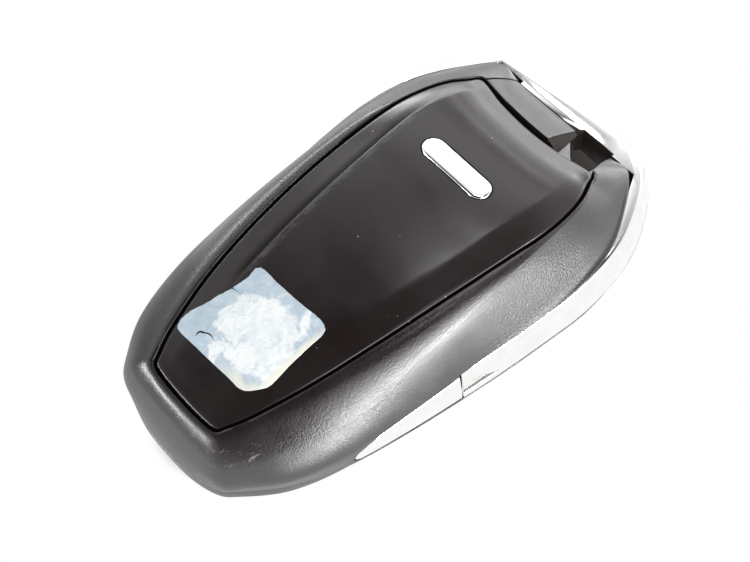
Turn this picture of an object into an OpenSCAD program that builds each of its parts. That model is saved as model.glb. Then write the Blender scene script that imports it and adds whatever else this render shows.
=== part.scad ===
// Keyless-entry car key fob with a pull-out emergency key.
// The rear face is up, +Y points to the key end, and the origin lies under the middle of the outline.

/* [Housing] */
// Length of the black housing, from the narrow end to the horns
housing_l = 70.4; // [68:0.2:74]
// Width of the housing at the edge above the chrome
housing_w = 40.1; // [38:0.1:44]
// How far each side stands out below that edge
flare = 1.5; // [0.8:0.1:2.2]
// Height of the seam between the front and the rear housing
seam_h = 2.6; // [2.5:0.05:2.9]
// Wall of the rear housing beside the bow's arms
wall = 1.6; // [1.3:0.1:2]
// Thickness of the front face
front_t = 1.4; // [1.2:0.05:1.45]
// How far the front housing's foot tucks in under the chrome
front_tuck = 1.1; // [0.5:0.05:1.2]
// Depth of the solid block at the key end
end_block = 9; // [8.4:0.1:10]
// How far the shoulders swell between the groove and the ridge
shoulder_swell = 0.5; // [0:0.05:0.7]
// How far the flanks swell between the ridge and the edge
flank_swell = 0.25; // [0:0.05:0.5]

/* [Rear cover] */
// Distance from the corners of the groove to the key end of the housing
cover_end = 6.1; // [5.8:0.1:6.6]
// Width of the cover's groove
cover_w = 27.76; // [26.5:0.1:29]
// Distance from the narrow end to the groove
cover_setback = 3.8; // [3.4:0.1:4.4]
// Thickness of the cover
cover_t = 1.5; // [1.2:0.1:1.8]
// Gap between the cover and its groove
cover_gap = 0.35; // [0.25:0.05:0.5]
// Clearance under the cover's edge
cover_seat_gap = 0.15; // [0.1:0.05:0.3]
// Height of the groove at the cover's ends
groove_h = 11.8; // [11.5:0.1:12.6]
// Rise of the groove to the middle of the cover
arch = 4.15; // [3.6:0.05:4.8]
// Rise of the raised middle of the cover above its groove
crown = 1.3; // [0.8:0.1:1.6]
// Width of the ledge that carries the cover
ledge_w = 1.4; // [1.1:0.1:1.6]
// Thickness of that ledge
ledge_t = 1.2; // [0.9:0.1:1.4]

// Radius of the round rib under the cover
rib_r = 6; // [4:0.5:7]
// Thickness of that rib
rib_t = 1; // [0.7:0.1:1.4]
// Clearance between that rib and the cell
rib_clear = 1.1; // [0.8:0.1:1.4]

/* [Badge] */
// Length of the blank inlay across the cover
badge_l = 11.5; // [8:0.5:13]
// Width of the inlay
badge_w = 3.4; // [2.4:0.1:4.2]
// Thickness of the inlay
badge_t = 0.9; // [0.7:0.1:1.1]
// How far the inlay stands out of the cover
badge_proud = 0.12; // [0.05:0.01:0.2]
// Distance from the inlay to the key end of the housing
badge_back = 20.5; // [18:0.1:24]

/* [Key bow] */
// Thickness of the bow across the key end
bow_bar = 4.6; // [4.2:0.1:6]
// Gap between the bow and the end of the housing
bow_gap = 0.4; // [0.3:0.05:0.8]
// How far the bow's inner face steps in beside the slider
bow_pad = 0.9; // [0.4:0.05:0.9]
// Height of the bow
bow_h = 4.9; // [4.4:0.05:5]
// Thickness of the bow's arms at the edge of the housing
arm_t = 2.55; // [2.3:0.05:2.9]
// Distance from the narrow end to the foot of the arms
arm_at = 32.4; // [30:0.1:35]
// How far the ends of the arms lean back
arm_slant = 0.5; // [0.2:0.1:1]
// Length of the nail notch in the end of each arm
nail_l = 5.6; // [4:0.1:7]
// Depth of the nail notch
nail_d = 0.85; // [0.5:0.05:0.85]
// Height of the nail notch
nail_h = 2.7; // [2:0.1:3]
// Running clearance of the bow
slide_gap = 0.15; // [0.1:0.05:0.25]
// Height of the guide rails inside the arms
rail_h = 1; // [0.6:0.1:1.4]
// Depth of the guide rails
rail_d = 0.6; // [0.3:0.05:0.7]

/* [Key blade] */
// Length of the blade from the bow to its tip
blade_l = 44; // [36:0.5:44.5]
// Width of the blade
blade_w = 7; // [6:0.1:7.6]
// Thickness of the blade
blade_t = 1.7; // [1.4:0.05:1.8]
// Offset of the blade from the middle
blade_x = -3; // [-3.4:0.1:-2.8]
// Height of the blade's lower face
blade_z = 4.85; // [4.75:0.05:4.95]
// Clearance round the blade
blade_gap = 0.15; // [0.1:0.05:0.2]
// Width of the cut track in each face
track_w = 1.5; // [1:0.1:1.8]
// Depth of that track
track_d = 0.45; // [0.2:0.05:0.6]
// Width of the tang that sits in the bow
tang_w = 5; // [4:0.1:5.6]
// Depth of the tang in the bow
tang_l = 2.6; // [2.2:0.1:2.8]
// Diameter of the pin through the tang
pin_d = 1.4; // [1:0.1:1.6]

/* [Side trim] */
// Distance from the narrow end to the tip of the trim
trim_at = 16.4; // [14:0.1:19]
// Height of the trim's lower edge above the seam
trim_lift = 0.35; // [0.25:0.05:0.6]
// How far the trim's upper edge stays under the edge of the housing
trim_drop = 0.3; // [0.2:0.05:0.6]
// Length of the slanted tip of the trim
tip_l = 3; // [2:0.1:4]
// Height of that slant
tip_h = 2.7; // [2.2:0.1:3]
// Fall of the trim's upper edge towards the tip
tip_slope = 0.6; // [0.3:0.1:0.9]
// Size of the rounded corner at the tip
tip_round = 0.65; // [0.4:0.05:0.9]
// Depth of the trim's seat in the housing
trim_seat = 0.9; // [0.5:0.05:1]
// Length of the tongue that the trim has behind the arm
tongue_l = 5; // [3.8:0.1:6]
// Thickness of that tongue
tongue_t = 0.6; // [0.4:0.05:0.65]

/* [Release slider] */
// Length of the slider
slider_l = 12.4; // [11:0.1:12.6]
// Travel of the slider
slider_travel = 4; // [3:0.1:4.2]
// How far the slider's free end slopes out to its foot
ramp_w = 1.75; // [1:0.05:1.8]
// Clearance of the slider
slider_gap = 0.2; // [0.15:0.05:0.25]
// Width of the recess between the horns at the cover
recess_in = 20.2; // [19.8:0.1:20.6]
// Width of the recess at the key end
recess_out = 17.3; // [17.1:0.1:17.8]
// Height of the recess floor at the cover
floor_in = 10; // [9.7:0.05:10.2]
// Height of the recess floor at the key end
floor_out = 7.05; // [6.9:0.05:7.2]
// Diameter of the slider's spring
spring_d = 1.7; // [1.4:0.1:1.8]
// Diameter of the spring's wire
wire_d = 0.25; // [0.2:0.01:0.3]
// Number of coils
coils = 7; // [5:1:8]

/* [Buttons] */
// Length of a button across the front face
button_l = 14; // [11:0.5:15]
// Width of a button
button_w = 9; // [7:0.5:9.5]
// Distance between buttons
button_pitch = 14; // [13.5:0.25:14.5]
// Distance from the middle button to the key end of the housing
button_back = 33; // [32:0.2:34]
// Travel of a button
button_travel = 0.4; // [0.25:0.05:0.4]
// How far the buttons lie behind the front face
button_recess = 0.3; // [0.2:0.05:0.4]
// Clearance round a button
button_gap = 0.15; // [0.1:0.05:0.25]
// Width of the flange that keeps a button in
flange_w = 0.6; // [0.4:0.1:0.8]
// Thickness of that flange
flange_t = 0.5; // [0.4:0.05:0.5]

/* [Inside] */
// Diameter of the coin cell
cell_d = 20; // [20:0.1:20.4]
// Thickness of the coin cell
cell_t = 3.2; // [2.5:0.1:3.4]
// Distance from the middle of the cell to the key end of the housing
cell_back = 28; // [26.5:0.1:29]
// Height of the cell's seat
seat_h = 9; // [8.6:0.05:9.2]
// Depth of the round seat in the chassis
seat_d = 1.2; // [0.8:0.1:1.3]
// Thickness of the chassis under the seat
deck_t = 1.8; // [1.4:0.1:2]
// Wall of the blade's channel in the chassis
channel_t = 0.8; // [0.6:0.1:1]
// Thickness of the circuit board
board_t = 0.8; // [0.6:0.05:0.85]
// Height of the board's upper face
board_h = 4.35; // [4.3:0.05:4.4]
// Clearance between the pieces inside
inside_gap = 0.05; // [0.03:0.01:0.08]
// Side of a tact switch
switch_w = 5; // [4:0.1:5.2]
// Height of a tact switch under the board
switch_h = 0.7; // [0.55:0.05:0.7]
// Thickness of the button mat
mat_t = 0.4; // [0.3:0.05:0.4]
// Thickness of the contacts' sheet
contact_t = 0.2; // [0.15:0.01:0.25]
// Side of the receiving coil
antenna_w = 11; // [8:0.5:12]
// Height of the receiving coil
antenna_h = 2.7; // [2:0.1:2.8]

/* [Hidden] */
$fn = 48;

overall_l = housing_l + bow_gap + bow_bar;
cover_l = housing_l - cover_setback - cover_end;
narrow_y = -overall_l / 2;
bow_y = narrow_y + housing_l + bow_gap;
far = 100;

// Points per stretch of a smooth outline
steps = 4;
// Rows along the cover, and shares of its half width where its columns run
cover_rows = 40;

// Half outlines from the middle of the narrow end round to the middle of the key end.
// Each row is a share of the outline's half width and of its length.
groove_shape = [
    [0, 0], [0.27, 0.002], [0.424, 0.009], [0.484, 0.031], [0.581, 0.084], [0.729, 0.208], [0.841, 0.357],
    [0.926, 0.522], [0.984, 0.688], [1, 0.803], [0.942, 0.902], [0.837, 0.965], [0.729, 1], [0.39, 0.984], [0, 0.977]
];
// The third share is the height between the seam and the ends of the groove.
edge_shape = [
    [0, 0, 0.24], [0.26, 0.003, 0.24], [0.474, 0.0175, 0.24], [0.584, 0.05, 0.283], [0.753, 0.12, 0.38],
    [0.865, 0.232, 0.462], [0.916, 0.373, 0.516], [0.955, 0.517, 0.554], [0.995, 0.66, 0.576], [0.995, 0.754, 0.587],
    [0.933, 0.847, 0.598], [0.788, 0.928, 0.63], [0.605, 0.994, 0.66], [0.424, 0.997, 0.565], [0, 0.9964, 0.554]
];
seam_shape = [
    [0, 0], [0.213, 0.0035], [0.387, 0.019], [0.482, 0.045], [0.65, 0.118], [0.775, 0.214], [0.863, 0.342], [0.943, 0.517],
    [0.986, 0.659], [1, 0.758], [0.945, 0.855], [0.787, 0.935], [0.593, 0.998], [0.398, 0.997], [0, 0.994]
];
inner_shape = [
    [0, 0], [0.314, 0.002], [0.541, 0.02], [0.667, 0.061], [0.855, 0.128], [0.975, 0.245], [1, 0.377], [1, 0.562],
    [1, 0.731], [1, 0.845], [0.985, 0.925], [0.87, 0.975], [0.69, 0.995], [0.35, 1], [0, 1]
];
bow_shape = [
    [0, 0], [0.306, 0.002], [0.5, 0.016], [0.611, 0.052], [0.769, 0.118], [0.847, 0.224], [0.884, 0.35], [0.944, 0.483],
    [0.986, 0.615], [1, 0.708], [0.954, 0.814], [0.826, 0.9], [0.63, 0.972], [0.37, 0.997], [0, 1]
];
// Where the flank's ridge lies between groove and edge, and how far it rises above a straight flank
ridge_shape = [
    [0.457, 1.6], [0.43, 1.6], [0.39, 1.6], [0.42, 1.4], [0.414, 0.9], [0.5, 1.25], [0.585, 2.1], [0.438, 1.86],
    [0.209, 1.03], [0.086, 0.15], [0.07, 0.1], [0.095, 0.1], [0.12, 0.1], [0.07, 0.1], [0.07, 0.1]
];
// Share of the flank's swell, and of the front housing's tuck under the chrome, along the outline
flank_shape = [1, 1.5, 3.5, 4.4, 4, 2.6, 1.4, 1, 1, 1, 1, 1, 1, 1, 1];
front_shape = [0, 0, 0, 0, 0, 0.4, 1, 1, 1, 1, 1, 1, 0.6, 0, 0];
// Swell of the cover's middle along its length, as a share of the crown
crown_shape = [[0, 0.04], [0.14, 0.47], [0.31, 0.61], [0.45, 0.66], [0.64, 0.85], [0.77, 1.17], [0.86, 1.14],
    [0.94, 0.62], [1, 0.05]];

neck_w = housing_w / 2 - arm_t;
inner_w = neck_w - wall;
seam_w = housing_w / 2 + flare;
edge_setback = 0.3;
inner_setback = 2;
edge_l = housing_l - 2 * edge_setback;
inner_l = housing_l - inner_setback - end_block;
pocket_d = cover_t + cover_seat_gap;
shoulder_at = housing_l - 9.9;
horn_w = 12.55;
bow_z = seam_h + slide_gap;
channel_top = bow_z + bow_h + slide_gap;
bow_round = 0.45;
bow_taper = 1.3;

recess_at = cover_setback + cover_l;
recess_start = recess_at - 1.7;
floor_at = recess_at - 0.6;
slider_x = slider_l - recess_in / 2 + slider_gap + 0.1;
slider_bow = 0.008;
slider_end = housing_l - 0.8;
slider_at = recess_at - 0.7;
leg_w = 1.7;
leg_at = slider_at + 2.7;
leg_l = 1.5;
leg_x = -recess_in / 2 + 1.5;
leg_z = blade_z + blade_t + 2 * blade_gap;
lug_w = 0.7;
spring_l = 6.8;
spring_x = slider_x - 0.35;
spring_at = slider_at + 1.3;
spring_z = floor_in - 2;

eye_x = slider_x + 0.3;
eye_at = recess_at + 0.3;
eye_reach = 3.3;
eye_depth = 3.6;

cell_at = housing_l - cell_back;
channel_w = blade_w / 2 + blade_gap;
channel_end = housing_l + bow_gap - blade_l - 1;
deck_z = seat_h - deck_t;
deck_top = seat_h + seat_d;
deck_gap = 0.2;
antenna_at = 6;
cell_gap = 0.15;
board_z = board_h - board_t;
mat_z = front_t + inside_gap + flange_t + button_travel + inside_gap;
mat_w = button_l / 2 + flange_w + 1.6;
mat_wall = 0.8;
post_r = 0.9;
post_x = 12;
post_at = housing_l - 40;

// Curves

function along(n) = narrow_y + n;

function at_arch(v) = groove_h + arch * (1 - pow(2 * v - 1, 2));

// The full outline from a half outline, anticlockwise seen from above
function closed(half) = concat(half, [for (i = [len(half) - 2:-1:1]) [-half[i][0], half[i][1], half[i][2]]]);

function lerp(a, b, t) = a + (b - a) * t;

// A point of the smooth closed curve through the points c, at the real index s
function on_curve(c, s) =
    let (n = len(c), k = floor(s), t = s - k)
    let (a = c[(k - 1 + n) % n], b = c[(k + n) % n], d = c[(k + 1 + n) % n], e = c[(k + 2 + n) % n])
    0.5 * (2 * b + (d - a) * t + (2 * a - 5 * b + 4 * d - e) * t * t + (3 * b - a - 3 * d + e) * t * t * t);

// Place on a long side of the cover, as an index of its outline, at the share v of its length
function side_index(v) =
    let (y = lerp(groove_shape[2][1], groove_shape[12][1], v))
    let (k = max([for (i = [2:11]) y >= groove_shape[i][1] ? i : 2]))
    k + (y - groove_shape[k][1]) / (groove_shape[k + 1][1] - groove_shape[k][1]);

function smooth(c) = [for (i = [0:len(c) * steps - 1]) on_curve(c, i / steps)];

// The outline moved inwards, level, by its own distance at each point
function inset_each(c, ds) = [
    for (i = [0:len(c) - 1])
        let (n = len(c), t = c[(i + 1) % n] - c[(i - 1 + n) % n], m = norm([t[0], t[1]]))
        c[i] - [t[1], -t[0], 0] * ds[i] / m
];

function inset(c, d) = inset_each(c, [for (p = c) d]);

function lower(c, d) = [for (p = c) p - [0, 0, d]];

function level(c, z) = [for (p = c) [p[0], p[1], z]];

function between(a, b, t) = [for (i = [0:len(a) - 1]) lerp(a[i], b[i], t)];

function outline(shape, half_w, at, l, z) = closed([for (p = shape) [p[0] * half_w, along(at + p[1] * l), z]]);

// Value of a table of [place, value] rows, with smooth steps between rows
function eased(table, v) =
    let (last = len(table) - 2)
    let (k = min(last, max([for (i = [0:last]) v >= table[i][0] ? i : 0])))
    let (t = (v - table[k][0]) / (table[k + 1][0] - table[k][0]))
    let (before = table[max(0, k - 1)][1], a = table[k][1], b = table[k + 1][1], after = table[min(last + 1, k + 2)][1])
    0.5 * (2 * a + (b - before) * t + (2 * before - 5 * a + 4 * b - after) * t * t
        + (3 * a - before - 3 * b + after) * t * t * t);

// Outlines of the housing

groove_line = closed([for (p = groove_shape) [p[0] * cover_w / 2, along(cover_setback + p[1] * cover_l), at_arch(p[1])]]);
edge_line = closed([
    for (p = edge_shape)
        [p[0] * housing_w / 2, along(edge_setback + p[1] * edge_l), seam_h + p[2] * (groove_h - seam_h)]
]);
seam_line = outline(seam_shape, seam_w, 0, housing_l, seam_h);
inner_line = outline(inner_shape, inner_w, inner_setback, inner_l, seam_h);
swell_rows = [for (k = flank_shape) [0, 0, k]];
tuck_rows = [for (k = front_shape) [0, 0, k]];
ridge_rows = [for (i = [0:len(ridge_shape) - 1]) [ridge_shape[i][0], 0, ridge_shape[i][1]]];
ridge_table = closed(ridge_rows);
ridge_line = [
    for (i = [0:len(groove_line) - 1])
        lerp(groove_line[i], edge_line[i], abs(ridge_table[i][0])) + [0, 0, ridge_table[i][2]]
];
flank_line = inset_each(between(edge_line, ridge_line, 0.5), [for (p = closed(swell_rows)) -flank_swell * p[2]]);
shoulder_line = [
    for (i = [0:len(groove_line) - 1])
        lerp(ridge_line[i], groove_line[i], 0.5) + [0, 0, shoulder_swell * ridge_table[i][2] / 2]
];
ledge_line = lower(inset(groove_line, ledge_w), pocket_d);
inner_top = [for (i = [0:len(inner_line) - 1]) [inner_line[i][0], inner_line[i][1], edge_line[i][2] + 0.4]];

// Solids from rings of points

function band(i, j, n) =
    let (a = i * n, b = j * n)
    [for (k = [0:n - 1]) let (m = (k + 1) % n) each [[a + k, b + k, b + m], [a + k, b + m, a + m]]];

// A tube whose last ring joins its first
module loop_solid(rings) {
    n = len(rings[0]);
    m = len(rings);
    polyhedron(
        points = [for (r = rings) each r],
        faces = [for (i = [0:m - 1]) each band(i, (i + 1) % m, n)]
    );
}

// A solid closed at its first and last ring by fans about the middle of the ring
module capped_solid(rings) {
    n = len(rings[0]);
    m = len(rings);
    ends = [for (r = [rings[0], rings[m - 1]]) [0, (r[0][1] + r[n / 2][1]) / 2, (r[0][2] + r[n / 2][2]) / 2]];
    foot = n * m;
    polyhedron(
        points = concat([for (r = rings) each r], ends),
        faces = concat(
            [for (i = [0:m - 2]) each band(i, i + 1, n)],
            [for (k = [0:n - 1]) [foot, k, (k + 1) % n]],
            [for (k = [0:n - 1]) [foot + 1, n * (m - 1) + (k + 1) % n, n * (m - 1) + k]]
        )
    );
}

module plate(points, z, h) {
    translate([0, 0, z])
        linear_extrude(height = h)
            polygon(points);
}

// A prism along X of a profile drawn as [place along the fob, height]
module side_prism(profile, x, l) {
    translate([x, 0, 0])
        rotate([90, 0, 90])
            linear_extrude(height = l)
                polygon([for (p = profile) [along(p[0]), p[1]]]);
}

module block(x, n, z, size) {
    translate([x, along(n), z])
        cube(size);
}

module stadium(l, w, h) {
    linear_extrude(height = h)
        union() {
            square([l - w, w], center = true);
            for (side = [-1, 1])
                translate([side * (l - w) / 2, 0])
                    circle(d = w);
        }
}

// Housings

// The rear housing before its cut-outs: flanks, ridge, cover pocket and inner wall in one closed tube
module housing_form() {
    loop_solid([
        smooth(seam_line), smooth(edge_line), smooth(flank_line), smooth(ridge_line), smooth(shoulder_line),
        smooth(groove_line), smooth(lower(groove_line, pocket_d)), smooth(ledge_line), smooth(lower(ledge_line, ledge_t)),
        smooth(inner_top), smooth(inner_line)
    ]);
}

// Plan of the housing between the bow's arms
function neck(g) = [
    [-neck_w - g, -far], [neck_w + g, -far], [neck_w + g, along(shoulder_at)],
    [horn_w + g, bow_y - bow_gap + g], [-horn_w - g, bow_y - bow_gap + g], [-neck_w - g, along(shoulder_at)]
];

module bow_channel() {
    difference() {
        block(-far / 2, arm_at, -1, [far, far, channel_top + 1]);
        plate(neck(0), -2, channel_top + 4);
    }
}

module rail_grooves() {
    for (side = [-1, 1])
        scale([side, 1, 1])
            block(neck_w - rail_d - slide_gap, arm_at + tongue_l - 2, bow_z + bow_h / 2 - rail_h / 2 - slide_gap,
                [rail_d + 1, shoulder_at - arm_at, rail_h + 2 * slide_gap]);
}

// Half width of the recess between the horns
function recess_w(n) = lerp(recess_in / 2, recess_out / 2, max(0, (n - recess_at) / (housing_l - recess_at)));

function floor_h(n) = lerp(floor_in, floor_out, (n - floor_at) / (housing_l - floor_at));

module recess() {
    stops = [recess_start, recess_at, housing_l + 2];
    intersection() {
        plate(concat(
            [for (n = stops) [recess_w(n), along(n)]],
            [for (i = [2:-1:0]) [-recess_w(stops[i]), along(stops[i])]]
        ), 0, far);
        side_prism([
            [recess_start - 1, floor_h(floor_at)], [floor_at, floor_h(floor_at)],
            [housing_l + 3, floor_h(housing_l + 3)], [housing_l + 3, far], [recess_start - 1, far]
        ], -far / 2, far);
    }
}

// The opening for a key ring between the end block and the bow
module eye() {
    plate([
        [eye_x, along(eye_at + eye_depth)], [eye_x + eye_reach, along(eye_at)], [recess_w(eye_at + 0.3) - 1, along(eye_at + 0.3)],
        [recess_w(housing_l), along(housing_l)], [recess_w(housing_l), along(housing_l + 2)], [eye_x, along(housing_l + 2)]
    ], -1, far);
}

// Room at the end of the housing for the step in the bow's inner face
module end_slot() {
    block(-recess_out / 2, slider_end, -1, [recess_out / 2 + eye_x + 0.1, far, far]);
}

module blade_tunnel() {
    block(blade_x - channel_w, housing_l - end_block - 1, blade_z - blade_gap,
        [2 * channel_w, end_block + 4, blade_t + 2 * blade_gap]);
}

module slider_slots() {
    block(leg_x - slider_gap, leg_at - slider_gap, leg_z - slider_gap,
        [leg_w + slider_travel + 2 * slider_gap, leg_l + 2 * slider_gap, far]);
    block(spring_x - spring_l - lug_w - slider_gap, spring_at - spring_d / 2 - slider_gap, spring_z - spring_d / 2 - slider_gap,
        [spring_l + lug_w + 1.5 * slider_gap, spring_d + 2 * slider_gap, far]);
}

// Outline of the side trim, as [place along the fob, height], grown by g
function trim_profile(g) =
    let (low = seam_h + trim_lift - g, high = channel_top - trim_drop + g)
    [
        [arm_at + g, high], [trim_at + tip_l - g, high - tip_slope], [trim_at + tip_round / 2 - g, high - tip_h],
        [trim_at - g, low + tip_round], [trim_at + tip_round - g / 2, low], [arm_at + g, low]
    ];

module trim_pockets() {
    side_prism(trim_profile(inside_gap), neck_w - trim_seat - inside_gap, far);
    side_prism(trim_profile(inside_gap), -neck_w + trim_seat + inside_gap - far, far);
}

module rear_housing() {
    color("#1b1a1b")
        difference() {
            housing_form();
            bow_channel();
            rail_grooves();
            recess();
            eye();
            end_slot();
            blade_tunnel();
            slider_slots();
            trim_pockets();
        }
}

// Outline of the front housing at the height z, d inside the seam
function front_ring(d, z) = level(inset_each(seam_line, [for (p = closed(tuck_rows)) d + front_tuck * p[2]]), z);

module front_form() {
    capped_solid([
        smooth(front_ring(2, 0)), smooth(front_ring(1.1, 0.06)), smooth(front_ring(0.4, 0.35)),
        smooth(front_ring(0.05, 0.9)), smooth(seam_line),
        smooth(inner_line), smooth(level(inner_line, front_t))
    ]);
}

function button_n(i) = housing_l - button_back + (i - 1) * button_pitch;

module locating_posts(r, z, h) {
    for (side = [-1, 1])
        translate([side * post_x, along(post_at), z])
            cylinder(r = r, h = h);
}

module front_housing() {
    color("#161516")
        difference() {
            union() {
                front_form();
                locating_posts(post_r, front_t / 2, board_h - front_t / 2 - inside_gap);
            }
            for (i = [0:2])
                translate([0, along(button_n(i)), -1])
                    stadium(button_l + 2 * button_gap, button_w + 2 * button_gap, front_t + 2);
            eye();
            end_slot();
        }
}

// Cover

cover_line = inset(groove_line, cover_gap);

// Point of the cover's patch at the shares u across and v along, spanned between its four edges
function cover_base(u, v) =
    let (near = on_curve(cover_line, 4 * u - 2), end = on_curve(cover_line, 16 - 4 * u))
    let (left = on_curve(cover_line, 28 - side_index(v)), right = on_curve(cover_line, side_index(v)))
    let (a = on_curve(cover_line, -2), b = on_curve(cover_line, 2), c = on_curve(cover_line, 16), d = on_curve(cover_line, 12))
    lerp(near, end, v) + lerp(left, right, u) - lerp(lerp(a, b, u), lerp(c, d, u), v);

// Share of the half width at which the raised middle ends
function crease(v) = 0.5 + 0.27 * v;

function swell(r, v) = r < crease(v) ? 1 - 0.12 * pow(r / crease(v), 2) : 0.88 * (1 - r) / (1 - crease(v));

function cover_point(r, v) = cover_base((r + 1) / 2, v) + [0, 0, crown * eased(crown_shape, v) * swell(abs(r), v)];

function cover_columns(v) =
    let (c = crease(v), half = [0.35 * c, 0.7 * c, c, (1 + c) / 2, 1])
    concat([for (i = [4:-1:0]) -half[i]], [0], half);

module cover_form() {
    top = [for (i = [0:cover_rows]) let (v = i / cover_rows) [for (r = cover_columns(v)) cover_point(r, v)]];
    nu = len(top[0]);
    total = nu * (cover_rows + 1);
    rim = concat(
        [for (j = [0:nu - 2]) j],
        [for (i = [0:cover_rows - 1]) i * nu + nu - 1],
        [for (j = [nu - 1:-1:1]) cover_rows * nu + j],
        [for (i = [cover_rows:-1:1]) i * nu]
    );
    polyhedron(
        points = concat([for (row = top) each row], [for (row = top) each lower(row, cover_t)]),
        faces = concat(
            [
                for (i = [0:cover_rows - 1]) for (j = [0:nu - 2])
                    let (a = i * nu + j)
                    each [[a, a + nu, a + nu + 1], [a, a + nu + 1, a + 1]]
            ],
            [
                for (i = [0:cover_rows - 1]) for (j = [0:nu - 2])
                    let (a = total + i * nu + j)
                    each [[a, a + nu + 1, a + nu], [a, a + 1, a + nu + 1]]
            ],
            [
                for (k = [0:len(rim) - 1])
                    let (a = rim[k], b = rim[(k + 1) % len(rim)])
                    each [[total + a, a, b], [total + a, b, total + b]]
            ]
        )
    );
}

badge_v = (housing_l - badge_back - cover_setback) / cover_l;
badge_low = cover_point(0, badge_v - 0.03);
badge_high = cover_point(0, badge_v + 0.03);
badge_tilt = atan2(badge_high[2] - badge_low[2], badge_high[1] - badge_low[1]);

module badge_solid(g) {
    middle = cover_point(0, badge_v);
    translate([0, middle[1], middle[2]])
        rotate([badge_tilt, 0, 0])
            translate([0, 0, badge_proud - badge_t - g])
                stadium(badge_l + 2 * g, badge_w + 2 * g, badge_t + 2 * g);
}

module rear_cover() {
    rib_z = seat_h + cell_t + rib_clear;
    above_cell = cover_point(0, (cell_at - cover_setback) / cover_l);
    color("#232122")
        difference() {
            union() {
                cover_form();
                translate([0, along(cell_at), rib_z])
                    difference() {
                        cylinder(r = rib_r, h = above_cell[2] - cover_t / 2 - rib_z);
                        translate([0, 0, -1])
                            cylinder(r = rib_r - rib_t, h = far);
                    }
            }
            badge_solid(inside_gap);
        }
}

module badge_inlay() {
    color("#d8dadc")
        badge_solid(0);
}

// Chrome

module skirt_form() {
    capped_solid([smooth(seam_line), smooth(edge_line)]);
}

module side_trim(side) {
    in_x = neck_w - trim_seat;
    color("#d3d5d8")
        scale([side, 1, 1])
            union() {
                intersection() {
                    skirt_form();
                    side_prism(trim_profile(0), in_x, far);
                }
                block(neck_w, arm_at - 2, bow_z + 0.5, [tongue_t, tongue_l + 2, bow_h - 1]);
            }
}

module side_trim_left() {
    side_trim(-1);
}

module side_trim_right() {
    side_trim(1);
}

module bow_form() {
    base = outline(bow_shape, seam_w, 0, overall_l, bow_z + bow_round);
    top = outline(bow_shape, housing_w / 2 + slide_gap, edge_setback, overall_l - bow_taper, bow_z + bow_h - bow_round);
    capped_solid([
        smooth(lower(inset(base, bow_round), bow_round)), smooth(base), smooth(inset(between(base, top, 0.5), -0.15)),
        smooth(top), smooth(lower(inset(top, bow_round), -bow_round))
    ]);
}

// A wedge cut from the outside of the right arm, deep at its end and level along its upper edge
module nail_notch() {
    skin = housing_w / 2 - 0.65;
    top = bow_z + bow_h - 0.9;
    intersection() {
        plate([[skin - nail_d, along(arm_at - 1)], [skin + far, along(arm_at - 1)], [skin + far, along(arm_at + nail_l + 2)],
            [skin + 0.5, along(arm_at + nail_l + 2)]], 0, far);
        side_prism([[arm_at - 1, top - nail_h], [arm_at - 1, top], [arm_at + nail_l, top]], 0, far);
    }
}

module key_bow() {
    tang_gap = 0.04;
    color("#dcdee1")
        union() {
            difference() {
                bow_form();
                plate(neck(slide_gap), -1, far);
                plate([
                    [-horn_w - slide_gap, 0], [horn_w + slide_gap, 0], [horn_w + slide_gap, bow_y], [eye_x + 0.3, bow_y],
                    [eye_x - 0.4, bow_y - bow_pad], [0.35 - recess_out / 2, bow_y - bow_pad], [0.35 - recess_out / 2, bow_y],
                    [-horn_w - slide_gap, bow_y]
                ], -1, far);
                side_prism([[-far, -far], [arm_at, -far], [arm_at, bow_z], [arm_at + arm_slant, bow_z + bow_h],
                    [arm_at + arm_slant, far], [-far, far]], -far / 2, far);
                block(-neck_w - tongue_t - slide_gap, 0, bow_z + 0.5 - slide_gap,
                    [2 * (neck_w + tongue_t + slide_gap), arm_at + tongue_l + slide_gap, bow_h - 1 + 2 * slide_gap]);
                nail_notch();
                mirror([1, 0, 0])
                    nail_notch();
                translate([blade_x - tang_w / 2 - tang_gap, bow_y - bow_pad - 1, blade_z - tang_gap])
                    cube([tang_w + 2 * tang_gap, tang_l + bow_pad + 1 + tang_gap, blade_t + 2 * tang_gap]);
                translate([blade_x, bow_y + tang_l / 2, bow_z - 1])
                    cylinder(d = pin_d + 2 * tang_gap, h = bow_h - 0.2);
            }
            for (side = [-1, 1])
                scale([side, 1, 1])
                    block(neck_w - rail_d, arm_at + tongue_l + 2, bow_z + bow_h / 2 - rail_h / 2,
                        [rail_d + slide_gap + 0.5, shoulder_at - arm_at - tongue_l - 4, rail_h]);
        }
}

// Centre of the cut track at the distance d from the tip
function track_x(d) = blade_x + 1.15 * sin(d * 31) + 0.55 * sin(d * 73);

module blade_track() {
    run = [for (i = [0:48]) 3 + (blade_l - 13) * i / 48];
    tip = bow_y - blade_l;
    linear_extrude(height = track_d + 1)
        polygon(concat(
            [for (d = run) [track_x(d) - track_w / 2, tip + d]],
            [for (i = [48:-1:0]) [track_x(run[i]) + track_w / 2, tip + run[i]]]
        ));
}

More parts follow.
